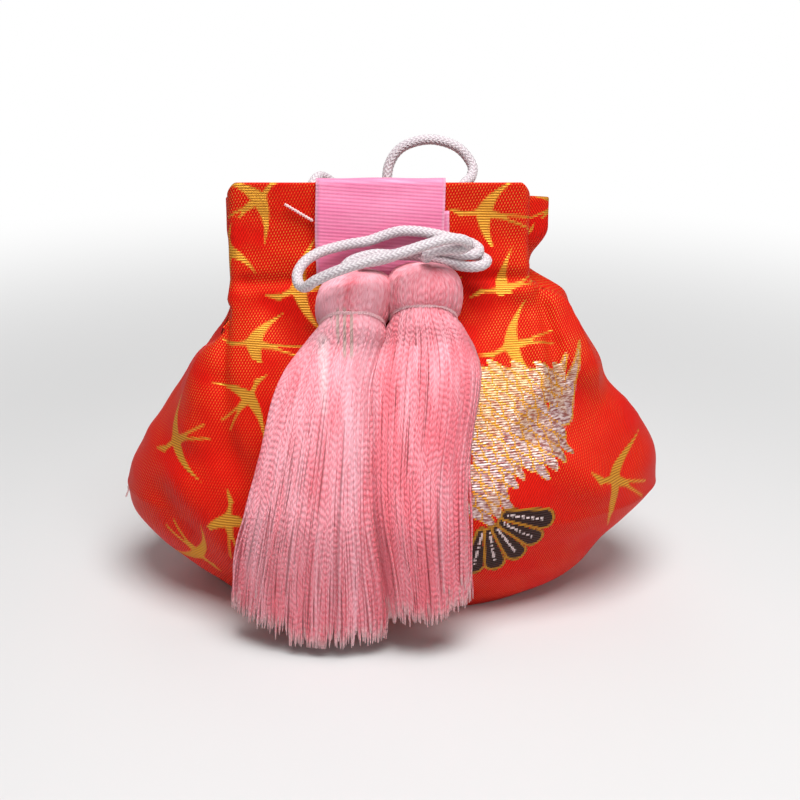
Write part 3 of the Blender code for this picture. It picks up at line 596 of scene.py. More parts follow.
# Shader maths


class Value:
    """A socket of a material, on which an expression adds the nodes that work it out."""

    def __init__(self, shade, socket):
        self.shade = shade
        self.socket = socket

    def _join(self, operation, left, right):
        vector = any(isinstance(v, Value) and v.socket.type in ("VECTOR", "RGBA") for v in (left, right))
        vector = vector or isinstance(left, tuple) or isinstance(right, tuple)
        if vector:
            left, right = ((v, v, v) if isinstance(v, (int, float)) else v for v in (left, right))
        kind = "ShaderNodeVectorMath" if vector else "ShaderNodeMath"
        return self.shade.node(kind, {"operation": operation}, {0: left, 1: right})

    def __add__(self, other):
        return self._join("ADD", self, other)

    def __radd__(self, other):
        return self._join("ADD", other, self)

    def __sub__(self, other):
        return self._join("SUBTRACT", self, other)

    def __rsub__(self, other):
        return self._join("SUBTRACT", other, self)

    def __mul__(self, other):
        return self._join("MULTIPLY", self, other)

    def __rmul__(self, other):
        return self._join("MULTIPLY", other, self)

    def __truediv__(self, other):
        return self._join("DIVIDE", self, other)

    def __lt__(self, other):
        return self._join("LESS_THAN", self, other)

    def __gt__(self, other):
        return self._join("GREATER_THAN", self, other)

    def __mod__(self, other):
        return self._join("FLOORED_MODULO", self, other)

    def least(self, other):
        return self._join("MINIMUM", self, other)

    def most(self, other):
        return self._join("MAXIMUM", self, other)

    def _alone(self, operation):
        return self.shade.node("ShaderNodeMath", {"operation": operation}, {0: self})

    def sine(self):
        return self._alone("SINE")

    def floor(self):
        return self._alone("FLOOR")

    def part(self):
        return self._alone("FRACT")

    def size(self):
        return self._alone("ABSOLUTE")

    def root(self):
        return self._alone("SQRT")

    def clamp(self):
        return self.shade.node("ShaderNodeClamp", {}, {0: self, 1: 0.0, 2: 1.0})

    def _measure(self, operation, values):
        return self.shade.node("ShaderNodeVectorMath", {"operation": operation}, values, "Value")

    def length(self):
        return self._measure("LENGTH", {0: self})

    def dot(self, other):
        return self._measure("DOT_PRODUCT", {0: self, 1: other})

    def parts(self):
        split = self.shade.node("ShaderNodeSeparateXYZ", {}, {0: self}).socket.node
        return [Value(self.shade, socket) for socket in split.outputs]


class Shade:
    """A material's nodes: one Principled shader, and one way to add any other node."""

    def __init__(self, name, **constants):
        self.material = bpy.data.materials.new(name)
        self.material.use_nodes = True
        self.tree = self.material.node_tree
        self.shader = self.tree.nodes["Principled BSDF"]
        for socket, value in constants.items():
            self.shader.inputs[socket.replace("_", " ")].default_value = value

    def node(self, kind, settings, values, output=0):
        """Adds a node: its settings first, then the values or links of its sockets; gives back one output."""
        item = self.tree.nodes.new(kind)
        for key, value in settings.items():
            setattr(item, key, value)
        for key, value in values.items():
            if isinstance(value, Value):
                self.tree.links.new(value.socket, item.inputs[key])
            else:
                item.inputs[key].default_value = value
        return Value(self, item.outputs[output])

    def uv(self):
        return self.node("ShaderNodeUVMap", {"uv_map": "cloth"}, {})

    def place(self):
        return self.node("ShaderNodeTexCoord", {}, {}, "Object")

    def vector(self, x, y, z=0.0):
        return self.node("ShaderNodeCombineXYZ", {}, {0: x, 1: y, 2: z})

    def turned(self, vector, place, degrees, size):
        """A point seen from a frame at a place: turned back about the place, then moved to it and scaled."""
        rotated = self.node(
            "ShaderNodeVectorRotate", {"rotation_type": "Z_AXIS"},
            {"Vector": vector, "Center": (*place, 0.0), "Angle": -math.radians(degrees)},
        )
        grow = (1 / size[0], 1 / size[1], 1.0)
        move = (-place[0] / size[0], -place[1] / size[1], 0.0)
        values = {0: rotated, 1: grow, 2: move}
        return self.node("ShaderNodeVectorMath", {"operation": "MULTIPLY_ADD"}, values)

    def blend(self, share, first, second, kind="RGBA"):
        """First where the share is 0 and second where it is 1."""
        low, high, output = {"RGBA": (6, 7, 2), "VECTOR": (4, 5, 1), "FLOAT": (2, 3, 0)}[kind]
        return self.node("ShaderNodeMix", {"data_type": kind}, {0: share, low: first, high: second}, output)

    def noise(self, vector, scale, detail=2.0):
        return self.node("ShaderNodeTexNoise", {}, {"Vector": vector, "Scale": scale, "Detail": detail})

    def speckle(self, vector):
        return self.node("ShaderNodeTexWhiteNoise", {"noise_dimensions": "2D"}, {"Vector": vector}, "Value")

    def feed(self, **links):
        for socket, value in links.items():
            self.tree.links.new(value.socket, self.shader.inputs[socket.replace("_", " ")])

    def relief(self, height, distance, strength, under=None):
        values = {"Height": height, "Distance": distance, "Strength": strength}
        if under is not None:
            values["Normal"] = under
        return self.node("ShaderNodeBump", {}, values, "Normal")

    def bump(self, height, distance, strength):
        self.feed(Normal=self.relief(height, distance, strength))


def dyed(colour, *strengths):
    """A colour with each channel made weaker or stronger, but never more than full."""
    return (*(min(1.0, channel * strength) for channel, strength in zip(colour, strengths)), 1.0)


def wave(phase):
    """A sine that repeats with each whole number."""
    return (phase * FULL_TURN).sine()


def inside(distance, softness):
    """1 inside a shape and 0 outside it, from the distance to its edge."""
    return (0.5 - distance / softness).clamp()


def smooth_blend(value, low, high):
    """0 below low and 1 above high, with a soft start and end."""
    share = ((value - low) / (high - low)).clamp()
    return share * share * (3.0 - 2.0 * share)


def tapered_line(point, start, end, start_width, end_width):
    """Distance to a line with thickness: from the point to its nearest place, less the thickness there."""
    run = (end[0] - start[0], end[1] - start[1])
    square = run[0] ** 2 + run[1] ** 2
    offset = point - (start[0], start[1], 0.0)
    share = offset.dot((run[0] / square, run[1] / square, 0.0)).clamp()
    nearest = point.shade.node(
        "ShaderNodeVectorMath", {"operation": "SCALE"}, {0: (run[0], run[1], 0.0), "Scale": share}
    )
    return (offset - nearest).length() - (start_width + (end_width - start_width) * share)


def nearest_line(point, lines, grown=0.0):
    """Distance to the nearest of several tapered lines, each made thicker by grown."""
    distance = None
    for start, end, first, last in lines:
        own = tapered_line(point, start, end, first + grown, last + grown)
        distance = own if distance is None else distance.least(own)
    return distance


def crane_shape(shade, local):
    """A flying crane with spread wings, heading along +x: distance to its edge, in its own units."""
    x, y, _ = local.parts()
    wide = y.size()
    swept = shade.vector(x + wide * wide * 0.075 - 0.9, wide)
    wing = tapered_line(swept, (0.0, 0.2), (-0.3, 7.0), 1.35, 0.05)
    plain = shade.vector(x, y)
    body = tapered_line(plain, (-2.6, 0.0), (1.6, 0.1), 0.45, 0.9)
    neck = tapered_line(plain, (1.6, 0.1), (4.6, 1.0), 0.5, 0.26)
    head = tapered_line(plain, (4.6, 1.0), (7.0, 0.6), 0.5, 0.08)
    legs = tapered_line(shade.vector(x, wide), (-2.4, 0.3), (-7.6, 1.1), 0.2, 0.13)
    return wing.least(body).least(neck.least(head)).least(legs)


def flock(shade, cloth):
    """Each crane's own frame inside its circle and a far point elsewhere, so one shape draws them all."""
    local = FAR_FROM_CRANES
    for across, up, turn, size, span in CRANES:
        own = shade.turned(cloth, (across, up), turn, (size, span))
        local = shade.blend(own.length() < CRANE_REACH, local, own, "VECTOR")
    return local


def feather_scales(shade, cloth):
    """Wing of overlapping scales: columns shifted by half from row to row, each ending in a parabola.

    A scale is drawn when its middle lies in the wing's area, so the wing ends in whole feathers. Gives the
    wing's mask, the mask of its gold outlines and a value that differs from scale to scale.
    """
    lean = math.radians(WING_TURN)

    def framed(place):
        x, y = place[0] - WING_PLACE[0], place[1] - WING_PLACE[1]
        return (x * math.cos(lean) + y * math.sin(lean), y * math.cos(lean) - x * math.sin(lean))

    x, y, _ = shade.turned(cloth, WING_PLACE, WING_TURN, (1.0, 1.0)).parts()
    uneven = shade.noise(cloth, 0.35, 1.0) - 0.5
    x, y = x + uneven * 1.6, y + uneven * 1.1
    row = (x / SCALE_PITCH).floor()
    shifted = y / SCALE_WIDTH + (row % 2.0) * 0.5
    across = shifted.part() - 0.5
    along = (x / SCALE_PITCH).part()
    curve = 1.0 - across * across * 4.0
    slope = 4.0 * SCALE_PITCH / SCALE_WIDTH
    steep = across * across * slope**2 + 1.0
    line = (along - curve).size() * SCALE_PITCH / steep.root()
    own_row = row + (along > curve)
    column = (y / SCALE_WIDTH + (own_row % 2.0) * 0.5).floor()
    middle = shade.vector(own_row * SCALE_PITCH, (column + 0.5 - (own_row % 2.0) * 0.5) * SCALE_WIDTH)

    framed_limbs = [(framed(start), framed(end), *widths) for start, end, *widths in WING_LIMBS]
    whole = nearest_line(middle, framed_limbs)
    filled = nearest_line(cloth, WING_LIMBS, grown=-1.0)
    wider = nearest_line(cloth - (1.0, -1.2, 0.0), WING_LIMBS, grown=1.3)
    in_scales = (inside(whole, 0.02) * inside(wider, 0.2)).most(inside(filled, 0.3))
    plume = nearest_line(cloth, PLUME)
    plume_edge = inside((plume + 0.2).size() - 0.2, 0.2)
    in_plume = inside(plume, 0.2) * (1.0 - in_scales)
    outline = shade.blend(in_plume, inside(line - 0.26, 0.2), plume_edge, "FLOAT")
    return in_scales.most(in_plume), outline, shade.speckle(shade.vector(own_row, column))


def dark_feathers(shade, cloth):
    """Long dark feathers that fan out, later ones on top: mask, gold outline and the pale line along each."""
    local, nearest = None, None
    for turn in FAN_TURNS:
        own = shade.turned(cloth, FAN_PLACE, turn, (1.0, 1.0))
        distance = tapered_line(own, (4.0, 0.0), (11.2, 0.0), 1.2, 2.15)
        if local is None:
            local, nearest = own, distance
            continue
        covered = distance < 0.15
        local = shade.blend(covered, local, own, "VECTOR")
        nearest = shade.blend(covered, nearest, distance, "FLOAT")
    x, y, _ = local.parts()
    dashes = (x * 6.5).sine() > -0.6
    vein = inside(y.size() - 0.22, 0.2) * (x > 4.0) * (x < 11.4) * dashes
    outline = inside((nearest + 0.16).size() - 0.24, 0.2)
    return inside(nearest - 0.15, 0.2), outline, vein


def brocade_material(cloth_props):
    """Red diagonal twill with gold glints; gold cranes, a silver scaled wing and dark feathers woven in."""
    shade = Shade("brocade", Specular_IOR_Level=0.2, Specular_Tint=(1.0, 0.42, 0.3, 1.0))
    pitch = cloth_props.twill_pitch / MM
    red, gold = cloth_props.ground_colour, cloth_props.gold_colour
    cloth = shade.uv()
    u, v, _ = cloth.parts()
    on_back = u > BACK_OFFSET / 2
    drawn_u = u + on_back * (BACK_OFFSET + BACK_SHIFT - 2.0 * u)
    stepped = shade.vector((drawn_u / WARP_STEP).floor() * WARP_STEP, (v / WEFT_STEP).floor() * WEFT_STEP)
    lean = math.radians(TWILL_LEAN)
    ribs = (u * math.sin(lean) - v * math.cos(lean)) / pitch
    rib = wave(ribs)
    cross = wave((u * math.cos(lean) + v * math.sin(lean)) / (pitch * CROSS_SHARE) + ribs * 0.5)
    weft = wave(v / WEFT_PITCH)
    cranes = inside(crane_shape(shade, flock(shade, stepped)), 0.3)
    wing, wing_lines, scale_name = feather_scales(shade, stepped)
    dark, dark_lines, vein = dark_feathers(shade, stepped)

    # The ground: red ribs and gold weft specks, painted as highlights in patches and more towards the neck
    patches = shade.noise(cloth, 0.09, 2.0)
    upper = smooth_blend(v, 40.0, 80.0) * 0.65 + 0.35
    glint = inside(0.62 - cross * 0.5 - rib * 0.5, 0.3) * (patches * 5.5 - 2.1).clamp() * upper
    ground = shade.blend(rib * 0.5 + 0.5, dyed(red, 0.7, 0.5, 0.5), (*red, 1.0))
    ground = shade.blend(glint * 0.9, ground, dyed(gold, 1.0, 0.7, 1.0))

    # The pattern's gold, and the wing's silver with dark flecks, which turns gilt towards the wing's top
    thread = weft * 0.5 + 0.5
    woven_gold = shade.blend(thread, dyed(gold, 0.55, 0.42, 0.4), (*gold, 1.0))
    fleck = shade.noise(shade.vector(u * 0.9, v * 2.4), 1.0, 2.0)
    silver = shade.blend((fleck * 4.0 - 1.6).clamp(), (0.3, 0.1, 0.09, 1.0), (0.82, 0.66, 0.65, 1.0))
    golden = (smooth_blend(v - u * 0.5, 38.0, 58.0) * 0.9 + (scale_name - 0.5) * 0.5).clamp()
    gilt = shade.blend((fleck * 4.0 - 1.5).clamp(), (0.62, 0.22, 0.05, 1.0), (0.9, 0.6, 0.2, 1.0))
    silver = shade.blend(golden * 0.8, silver, gilt)

    # The pattern over the ground: cranes, wing and dark feathers
    colour = shade.blend(cranes, ground, woven_gold)
    colour = shade.blend(wing, colour, shade.blend(wing_lines, silver, woven_gold))
    night = shade.blend(thread, (0.012, 0.008, 0.008, 1.0), (0.05, 0.028, 0.028, 1.0))
    feather = shade.blend(vein, night, (0.75, 0.6, 0.6, 1.0))
    feather = shade.blend(dark_lines, feather, dyed(gold, 0.55, 0.5, 0.5))
    colour = shade.blend(dark, colour, feather)

    # Gold and silver shine; the dark feathers do so only along their outlines
    metal = cranes.most(wing).most(dark_lines * dark).most(glint * 0.5)
    metal = metal * (1.0 - dark * (1.0 - dark_lines))
    shade.feed(Base_Color=colour, Metallic=metal * 0.45, Roughness=0.5 - metal * 0.12)
    raised = cranes.most(wing).most(dark)
    twill = shade.relief(rib * 0.5 + cross * 0.2, cloth_props.relief, 0.7 - raised * 0.6)
    shade.feed(Normal=shade.relief(weft * 0.5, cloth_props.relief, raised * 0.7, twill))
    return shade.material


def lining_material():
    """Plain weave: two families of fine threads that cross, over and under by turns."""
    shade = Shade("lining", Sheen_Weight=0.1)
    u, v, _ = shade.uv().parts()
    weave = wave(u / LINING_PITCH) * wave(v / LINING_PITCH)
    blotch = shade.noise(shade.place(), 90.0)
    colour = shade.blend(weave * 0.25 + blotch * 0.5 + 0.1, (0.38, 0.03, 0.025, 1.0), (0.6, 0.07, 0.05, 1.0))
    shade.feed(Base_Color=colour, Roughness=0.7 + blotch * 0.15)
    shade.bump(weave, 0.05 * MM, 0.6)
    return shade.material


def ribbon_material(ribbon_props):
    """Fine cross ribs that rise a little to the right, with broad soft bands of lighter pink."""
    shade = Shade("ribbon", Sheen_Weight=0.15, Sheen_Roughness=0.35)
    pink = ribbon_props.colour
    u, v, _ = shade.uv().parts()
    rib = wave((v - u * 0.07) / (ribbon_props.rib_pitch / MM))
    warp = wave(u / RIBBON_WARP_PITCH)
    bands = shade.noise(shade.vector(u * 0.05, v * 0.12), 1.3, 1.0)
    broken = shade.noise(shade.vector(u * 0.5, v * 2.2), 1.0, 2.0)
    edge = inside(RIBBON_WIDTH / MM / 2 - RIBBON_SELVEDGE - u.size(), 0.3)
    tone = (rib * 0.13 + 0.45 + (bands - 0.5) * 1.3 + (broken - 0.5) * 0.5).clamp()
    colour = shade.blend(tone, dyed(pink, 0.86, 0.6, 0.72), dyed(pink, 1.08, 1.3, 1.16))
    colour = shade.blend(edge * 0.4, colour, (1.0, 0.62, 0.78, 1.0))
    shade.feed(Base_Color=colour, Roughness=0.5 - tone * 0.12)
    shade.bump(rib * 0.6 + warp * 0.15 + edge * 1.2, 0.05 * MM, 0.6)
    return shade.material


def cord_material(cord_props):
    """White braid: chevrons along the cord, shaded in their grooves, with fine filaments across each."""
    shade = Shade("cord", Sheen_Weight=0.2, Sheen_Roughness=0.4)
    white = (*cord_props.colour, 1.0)
    along, around, _ = shade.uv().parts()
    pitch = cord_props.braid_pitch / MM
    column = (around * cord_props.braid_columns).part() - 0.5
    lump = wave(along / pitch + column.size() * BRAID_SLANT) * 0.5 + 0.5
    valley = inside(0.06 - (0.5 - column.size()), 0.1)
    filament = wave(along * 2.0 + column * 9.0)
    tint = shade.noise(shade.place(), 260.0)
    tone = (lump * 0.75 + 0.25 - valley * 0.3).clamp()
    groove = shade.blend(tint, (0.5, 0.4, 0.45, 1.0), (0.6, 0.52, 0.55, 1.0))
    colour = shade.blend(tone, groove, white)
    shade.feed(Base_Color=colour, Roughness=0.62 - lump * 0.12)
    shade.bump(lump + filament * 0.12 - valley * 0.5, 0.09 * MM, 0.7)
    return shade.material


def tassel_material(tassel_props):
    """Silky thread: each strand its own tone, deeper streaks, paler ends, a pale lock, painted shade in gaps.
    """
    shade = Shade("tassel_thread", Sheen_Weight=0.25, Sheen_Roughness=0.35)
    pink = tassel_props.colour
    strand_along, strand, _ = shade.uv().parts()
    x, y, z = shade.place().parts()
    streak = shade.noise(shade.vector(x * 300.0, y * 120.0, z * 16.0), 1.0, 3.0)
    broad = shade.noise(shade.vector(x * 60.0, y * 40.0, z * 12.0), 1.0, 1.0)
    low = ((0.045 - z) * 30.0).clamp()
    # A fine wave along each strand: a bump, and painted shade that darkens the colour in flecks
    crinkle_and_shade = wave(strand_along * (46.0 + strand * 22.0) + strand * 40.0) * 0.5 + 0.5
    deep = ((streak - 0.45) * 2.2 + (broad - 0.5) * 1.6 + low * 0.4 + strand * 0.4 + crinkle_and_shade * 0.35).clamp()
    tip = ((strand_along - 0.955) * 30.0).clamp()
    colour = shade.blend(deep, dyed(pink, 1.04, 1.6, 1.5), dyed(pink, 0.92, 0.6, 0.62))
    colour = shade.blend(tip * 0.6, colour, (0.95, 0.72, 0.72, 1.0))
    front = shade.vector(x * 1000.0, z * 1000.0)
    lock = inside(tapered_line(front, *PALE_LOCK), 1.0) * (0.5 + strand * 0.5)
    # Painted shade: darker stripes where the gaps between strands of one spot lie in shade
    gaps = inside(tapered_line(front, *SHADED_GAP_SPOT), 0.8) * ((x * 5200.0).sine() > 0.1)
    colour = shade.blend(lock * 0.85, colour, (0.9, 0.68, 0.7, 1.0))
    colour = shade.blend(gaps * 0.75, colour, (0.5, 0.4, 0.34, 1.0))
    shade.feed(Base_Color=colour, Roughness=0.46 + streak * 0.12)
    shade.bump(crinkle_and_shade, 0.16 * MM, 0.8)
    return shade.material


def thread_material(name, colour, pitch):
    """Twisted thread: slanting turns along its length, with painted shade in the grooves between them."""
    shade = Shade(name, Sheen_Weight=0.2)
    along, around, _ = shade.uv().parts()
    turn = wave(along / pitch + around * 2.0) * 0.5 + 0.5
    # Painted shade: the colour darkens in the grooves between the turns
    shaded_turns = shade.blend(turn, dyed(colour, 0.88, 0.8, 0.8), (*colour, 1.0))
    shade.feed(Base_Color=shaded_turns, Roughness=0.6 - turn * 0.1)
    shade.bump(turn, 0.06 * MM, 0.7)
    return shade.material


def floor_material(stage_props):
    """Pale floor near the pouch, which turns into the white of the backdrop with the distance from it."""
    shade = Shade("floor", Roughness=0.9, Specular_IOR_Level=0.1)
    shade.shader.inputs["Base Color"].default_value = (*stage_props.floor_colour, 1.0)
    x, y, _ = shade.place().parts()
    distance = shade.vector(x, y).length()
    camera_ray = shade.node("ShaderNodeLightPath", {}, {}, "Is Camera Ray")
    far = smooth_blend(distance, 0.10, 0.32) * camera_ray
    white = shade.node("ShaderNodeEmission", {}, {"Color": (1.0, 1.0, 1.0, 1.0), "Strength": 1.0})
    near = Value(shade, shade.shader.outputs["BSDF"])
    mixed = shade.node("ShaderNodeMixShader", {}, {0: far, 1: near, 2: white})
    shade.tree.links.new(mixed.socket, shade.tree.nodes["Material Output"].inputs["Surface"])
    return shade.material


# Cloth pieces


def add_folds(grid):
    """Pushes the cloth along its normals, with a fine ripple: each fold is a bell curve about its line.

    A crease isn't pushed in past the deepest one: its depth nears that along a hyperbolic tangent. The push
    fades out at the base, and by more than half at the neck.
    """
    x, y, z = grid[..., 0] / MM, grid[..., 1], grid[..., 2] / MM
    push = np.zeros_like(x)
    for x0, z0, x1, z1, width, amount, side in FOLDS:
        run = np.array([x1 - x0, z1 - z0])
        share = np.clip(((x - x0) * run[0] + (z - z0) * run[1]) / (run @ run), 0, 1)
        away = np.hypot(x - x0 - share * run[0], z - z0 - share * run[1])
        facing = smooth_step(side * y / (4 * MM) + 0.5)
        push += amount * np.exp(-((away / width) ** 2)) * facing
    ripple = 0.12 * np.sin(x * 0.55 + z * 0.21) * np.sin(z * 0.47 - x * 0.13 + 1.0)
    steady = smooth_step((z - 1.5) / 6.0) * (1 - smooth_step((z - 60.0) / 8.0) * 0.6)
    push = np.where(push < 0, DEEPEST_CREASE * np.tanh(push / DEEPEST_CREASE), push)
    push = (push + ripple) * steady
    return grid + push[..., None] * MM * grid_normals(grid)


def rim_rows(outer, inner, steps):
    """Rows over a folded edge: half a turn from outer row to inner, as high as half their distance."""
    middle, half = (outer + inner) / 2, (outer - inner) / 2
    lift = np.linalg.norm(half, axis=1, keepdims=True) * np.array([0.0, 0.0, 1.0])
    turn = np.linspace(0, math.pi, steps + 2)[1:-1, None, None]
    return middle + half * np.cos(turn) + lift * np.sin(turn)


def closed_shell(name, outer, inner, rim_steps, front_columns):
    """A bag with walls: outer rings upwards, over the rim, inner rings downwards, and a fan at both ends.

    Its UV is millimetres of cloth: the length round from the middle of the front or back, and the length up.
    """
    columns = outer.shape[1]
    rows = np.concatenate([outer, rim_rows(outer[-1], inner[-1], rim_steps), inner[::-1]])
    count = len(rows)
    quads = ring_faces(count, columns).reshape(-1, 4)
    wrapped = np.concatenate([rows, rows[:, :1]], axis=1)
    step = np.linalg.norm(np.diff(wrapped, axis=1), axis=2)
    round_length = np.concatenate([np.zeros((count, 1)), np.cumsum(step, axis=1)], axis=1)
    total = round_length[:, -1:]
    back_middle = round_length[:, 2 * front_columns][:, None]
    u_front = np.where(np.arange(columns + 1) <= 2 * front_columns, round_length, round_length - total) / MM
    u_back = -(round_length - back_middle) / MM + BACK_OFFSET
    up = length_along(rows[:, 0]) / MM
    i, c = np.arange(count - 1)[:, None], np.arange(columns)[None, :]
    is_back = (c >= front_columns) & (c < 3 * front_columns)
    corner_u = []
    for row, column in ((i, c), (i, c + 1), (i + 1, c + 1), (i + 1, c)):
        corner_u.append(np.where(is_back, u_back[row, column], u_front[row, column]))
    corner_v = [np.broadcast_to(up[row], corner_u[0].shape) for row in (i, i, i + 1, i + 1)]
    quad_uv = np.stack([np.stack(corner_u, axis=2), np.stack(corner_v, axis=2)], axis=3).reshape(-1, 4, 2)
    tri_uv = []
    for row in (0, count - 1):
        u = np.where(is_back[0], u_back[row][:-1], u_front[row][:-1])
        tri_uv.append(np.stack([np.stack([u, u, u], axis=1), np.full((columns, 3), up[row])], axis=2))
    fans = end_fans(count, columns)
    return make_piece(name, ring_points(rows), quads, quad_uv, fans, np.concatenate(tri_uv))


def bag_heights(top, counts):
    """Heights from the base to the top: counts below the belly, up to the shoulder, and in the neck."""
    below, between, neck = counts
    return np.concatenate([
        np.linspace(0, BELLY_HEIGHT, below, endpoint=False),
        np.linspace(BELLY_HEIGHT, SHOULDER_HEIGHT, between, endpoint=False),
        np.linspace(SHOULDER_HEIGHT, top, neck),
    ])


def with_base(rings, shares):
    """The rings with flat rows below them: the lowest ring drawn in towards its middle by each share."""
    middle = np.array([0.0, 0.0, rings[0, 0, 2]])
    base = middle + (rings[0] - middle)[None] * np.asarray(shares)[:, None, None]
    return np.concatenate([base, rings])


def wall_normals(outer, base_count):
    """Outward normals of the bag's outer rings, straight down on the flat base."""
    normal = grid_normals(outer)
    normal[:base_count] = (0.0, 0.0, -1.0)
    return normal


def dress(piece, material, node, body):
    """Gives a piece its material, and tells the frame which node it replaces and its body."""
    piece.data.materials.append(material)
    if node:
        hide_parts(node)
    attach(piece, body)


def make_bag(cloth_props):
    """The folded outer bag, whose wall is as thick as the cloth; its inner face has a third of the rings."""
    steps = (34, 13, 9, 9)
    base_shares = (0.15, 0.4, 0.65, 0.85, 0.95)
    outer = with_base(add_folds(bag_rings(bag_heights(NECK_HEIGHT, (30, 62, 34)), steps)), base_shares)
    inside_wall = outer - BROCADE_THICKNESS * wall_normals(outer, len(base_shares))
    inner = inside_wall[::3]
    inner[-1] = inside_wall[-1]
    piece = closed_shell("brocade_cloth", outer, inner, 5, sum(steps))
    dress(piece, brocade_material(cloth_props), "brocade_bag", "pouch")


def make_lining():
    """The plain bag inside: the outer bag's sections without pleats, drawn in by its wall and two gaps.

    Low down it narrows to its own smaller floor, which stands clear of the outer bag's.
    """
    steps = (20, 8, 6, 6)
    base_shares = (0.2, 0.6, 0.9)
    heights = bag_heights(NECK_HEIGHT - LINING_TOP_DROP, (14, 40, 14))
    rings = bag_rings(heights, steps, pleated=False)
    inset = BROCADE_THICKNESS + 2 * GAP
    outer = rings - inset * grid_normals(rings)
    risen = smooth_step(heights / LINING_TURN_HEIGHT)[:, None, None]
    floor = rings[0, :, :2] * (1 - LINING_FLOOR_INSET / (BASE_DEPTH / 2))
    outer[..., :2] = outer[..., :2] * risen + floor * (1 - risen)
    outer[..., 2] = np.maximum(outer[..., 2], BROCADE_THICKNESS + GAP + 0.2 * heights[:, None])
    outer[0, :, 2] = BROCADE_THICKNESS + GAP
    outer = with_base(outer, base_shares)
    inner = outer - LINING_THICKNESS * wall_normals(outer, len(base_shares))
    piece = closed_shell("lining_cloth", outer, inner, 3, sum(steps))
    dress(piece, lining_material(), "lining_bag", "pouch")


def ribbon_path():
    """Middle of the ribbon's thickness, as y, z and shift to the side.

    It starts inside the mouth, goes over the rim and down the front, and comes back up behind itself.
    """
    middle = RIBBON_LIFT + RIBBON_THICKNESS / 2
    layer = GAP + RIBBON_THICKNESS
    rim_front = float(FRONT.at(0.0, NECK_HEIGHT))
    turn_radius = BROCADE_THICKNESS / 2 + middle
    start = np.array([[rim_front + BROCADE_THICKNESS + middle, NECK_HEIGHT - RIBBON_INSIDE, 0.0]])
    angle = np.linspace(0, math.pi, 13)
    rim_y = rim_front + BROCADE_THICKNESS / 2 + turn_radius * np.cos(angle)
    over = np.stack([rim_y, NECK_HEIGHT + turn_radius * np.sin(angle), 0 * angle], axis=1)
    share = np.linspace(0.1, 1.0, 20)
    z = NECK_HEIGHT + (RIBBON_BOTTOM - NECK_HEIGHT) * share
    down = np.stack([FRONT.at(0.0, z) - middle - layer * smooth_step(share * 3), z, 0 * z], axis=1)
    angle = np.linspace(0, math.pi, 9)[1:]
    fold_y = down[-1, 0] + layer / 2 * (1 - np.cos(angle))
    fold_z = RIBBON_BOTTOM - layer / 2 * np.sin(angle)
    fold = np.stack([fold_y, fold_z, RIBBON_SHIFT * angle / math.pi], axis=1)
    z = RIBBON_BOTTOM + (RIBBON_END - RIBBON_BOTTOM) * np.linspace(0.1, 1.0, 14)
    back = np.stack([FRONT.at(0.0, z) - middle, z, np.full(len(z), RIBBON_SHIFT)], axis=1)
    return np.concatenate([start, over, down, fold, back])


def make_ribbon(ribbon_props):
    """A strip whose thickness is carried along its path, with a soft wave and edges that wander a little."""
    path = ribbon_path()
    stations = length_along(path[:, :2])
    tangent = np.gradient(path[:, :2], axis=0)
    tangent /= np.linalg.norm(tangent, axis=1, keepdims=True)
    normal = np.stack([tangent[:, 1], -tangent[:, 0]], axis=1)
    across = np.linspace(-1, 1, 25)
    wander = 0.12 * MM * np.sin(stations / (3.1 * MM))
    x = RIBBON_CENTRE + path[:, 2:3] + across * RIBBON_WIDTH / 2 + wander[:, None] * np.abs(across) ** 3
    ripple = 0.07 * MM * np.sin(across[None] * 5 + stations[:, None] / (2.5 * MM)) * (1 - across[None] ** 8)
    rows = len(path)
    layers = []
    for face in (1.0, -1.0):
        offset = ripple + face * RIBBON_THICKNESS / 2
        y = path[:, :1] + normal[:, :1] * offset
        z = path[:, 1:2] + normal[:, 1:2] * offset
        layers.append(np.stack([x, y, z], axis=2))
    ring = np.concatenate([layers[0], layers[1][:, ::-1]], axis=1)
    columns = ring.shape[1]
    points = ring.reshape(-1, 3)
    quads = ring_faces(rows, columns).reshape(-1, 4)
    u = np.concatenate([across, across[::-1]]) * RIBBON_WIDTH / 2 / MM
    v = stations / MM
    quad_uv = np.stack([u[quads % columns], v[quads // columns]], axis=2)
    half = columns // 2
    j = np.arange(half - 1)
    cap = np.stack([j, columns - 1 - j, columns - 2 - j, j + 1], axis=1)
    caps, cap_uv = [], []
    for row, faces in ((0, cap), (rows - 1, cap[:, ::-1])):
        caps.append(row * columns + faces)
        flat_uv = np.stack([u[j], np.full(half - 1, v[row])], axis=1)[:, None]
        cap_uv.append(np.broadcast_to(flat_uv, (half - 1, 4, 2)))
    faces = np.concatenate([quads, *caps])
    piece = make_piece("ribbon_cloth", points, faces, np.concatenate([quad_uv, *cap_uv]))
    dress(piece, ribbon_material(ribbon_props), "ribbon", "pouch")


# Cords and threads


def make_cord(name, node, route, cord_props, material):
    """A braided tube: its radius swells in chevrons, with a groove between its columns.

    The swelling is a sine of the length along the cord plus the distance from the column's middle.
    """
    path = smooth_route(np.array(route) * MM, 12)
    length = length_along(path)[-1]
    count = int(length / CORD_STATION)
    points, along = even_route(path, count)
    side, up = carried_frame(points)
    sides = 24
    around = np.arange(sides) / sides
    column = np.abs((around * cord_props.braid_columns) % 1.0 - 0.5)
    phase = FULL_TURN * (along[:, None] / cord_props.braid_pitch + BRAID_SLANT * column[None])
    swell = BRAID_SWELL * np.sin(phase) - BRAID_GROOVE * (column[None] > 0.44)
    radius = (CORD_DIAMETER / 2 - BRAID_GROOVE + swell)[None]
    skin, quads, tris, quad, tri = tube_set(points[None], side[None], up[None], radius, sides)
    quad_uv, tri_uv = tube_corner_uv(quad, tri, sides, count, along[None] / MM)
    piece = make_piece(name, skin, quads, quad_uv, tris, tri_uv)
    dress(piece, material, node, "pouch")


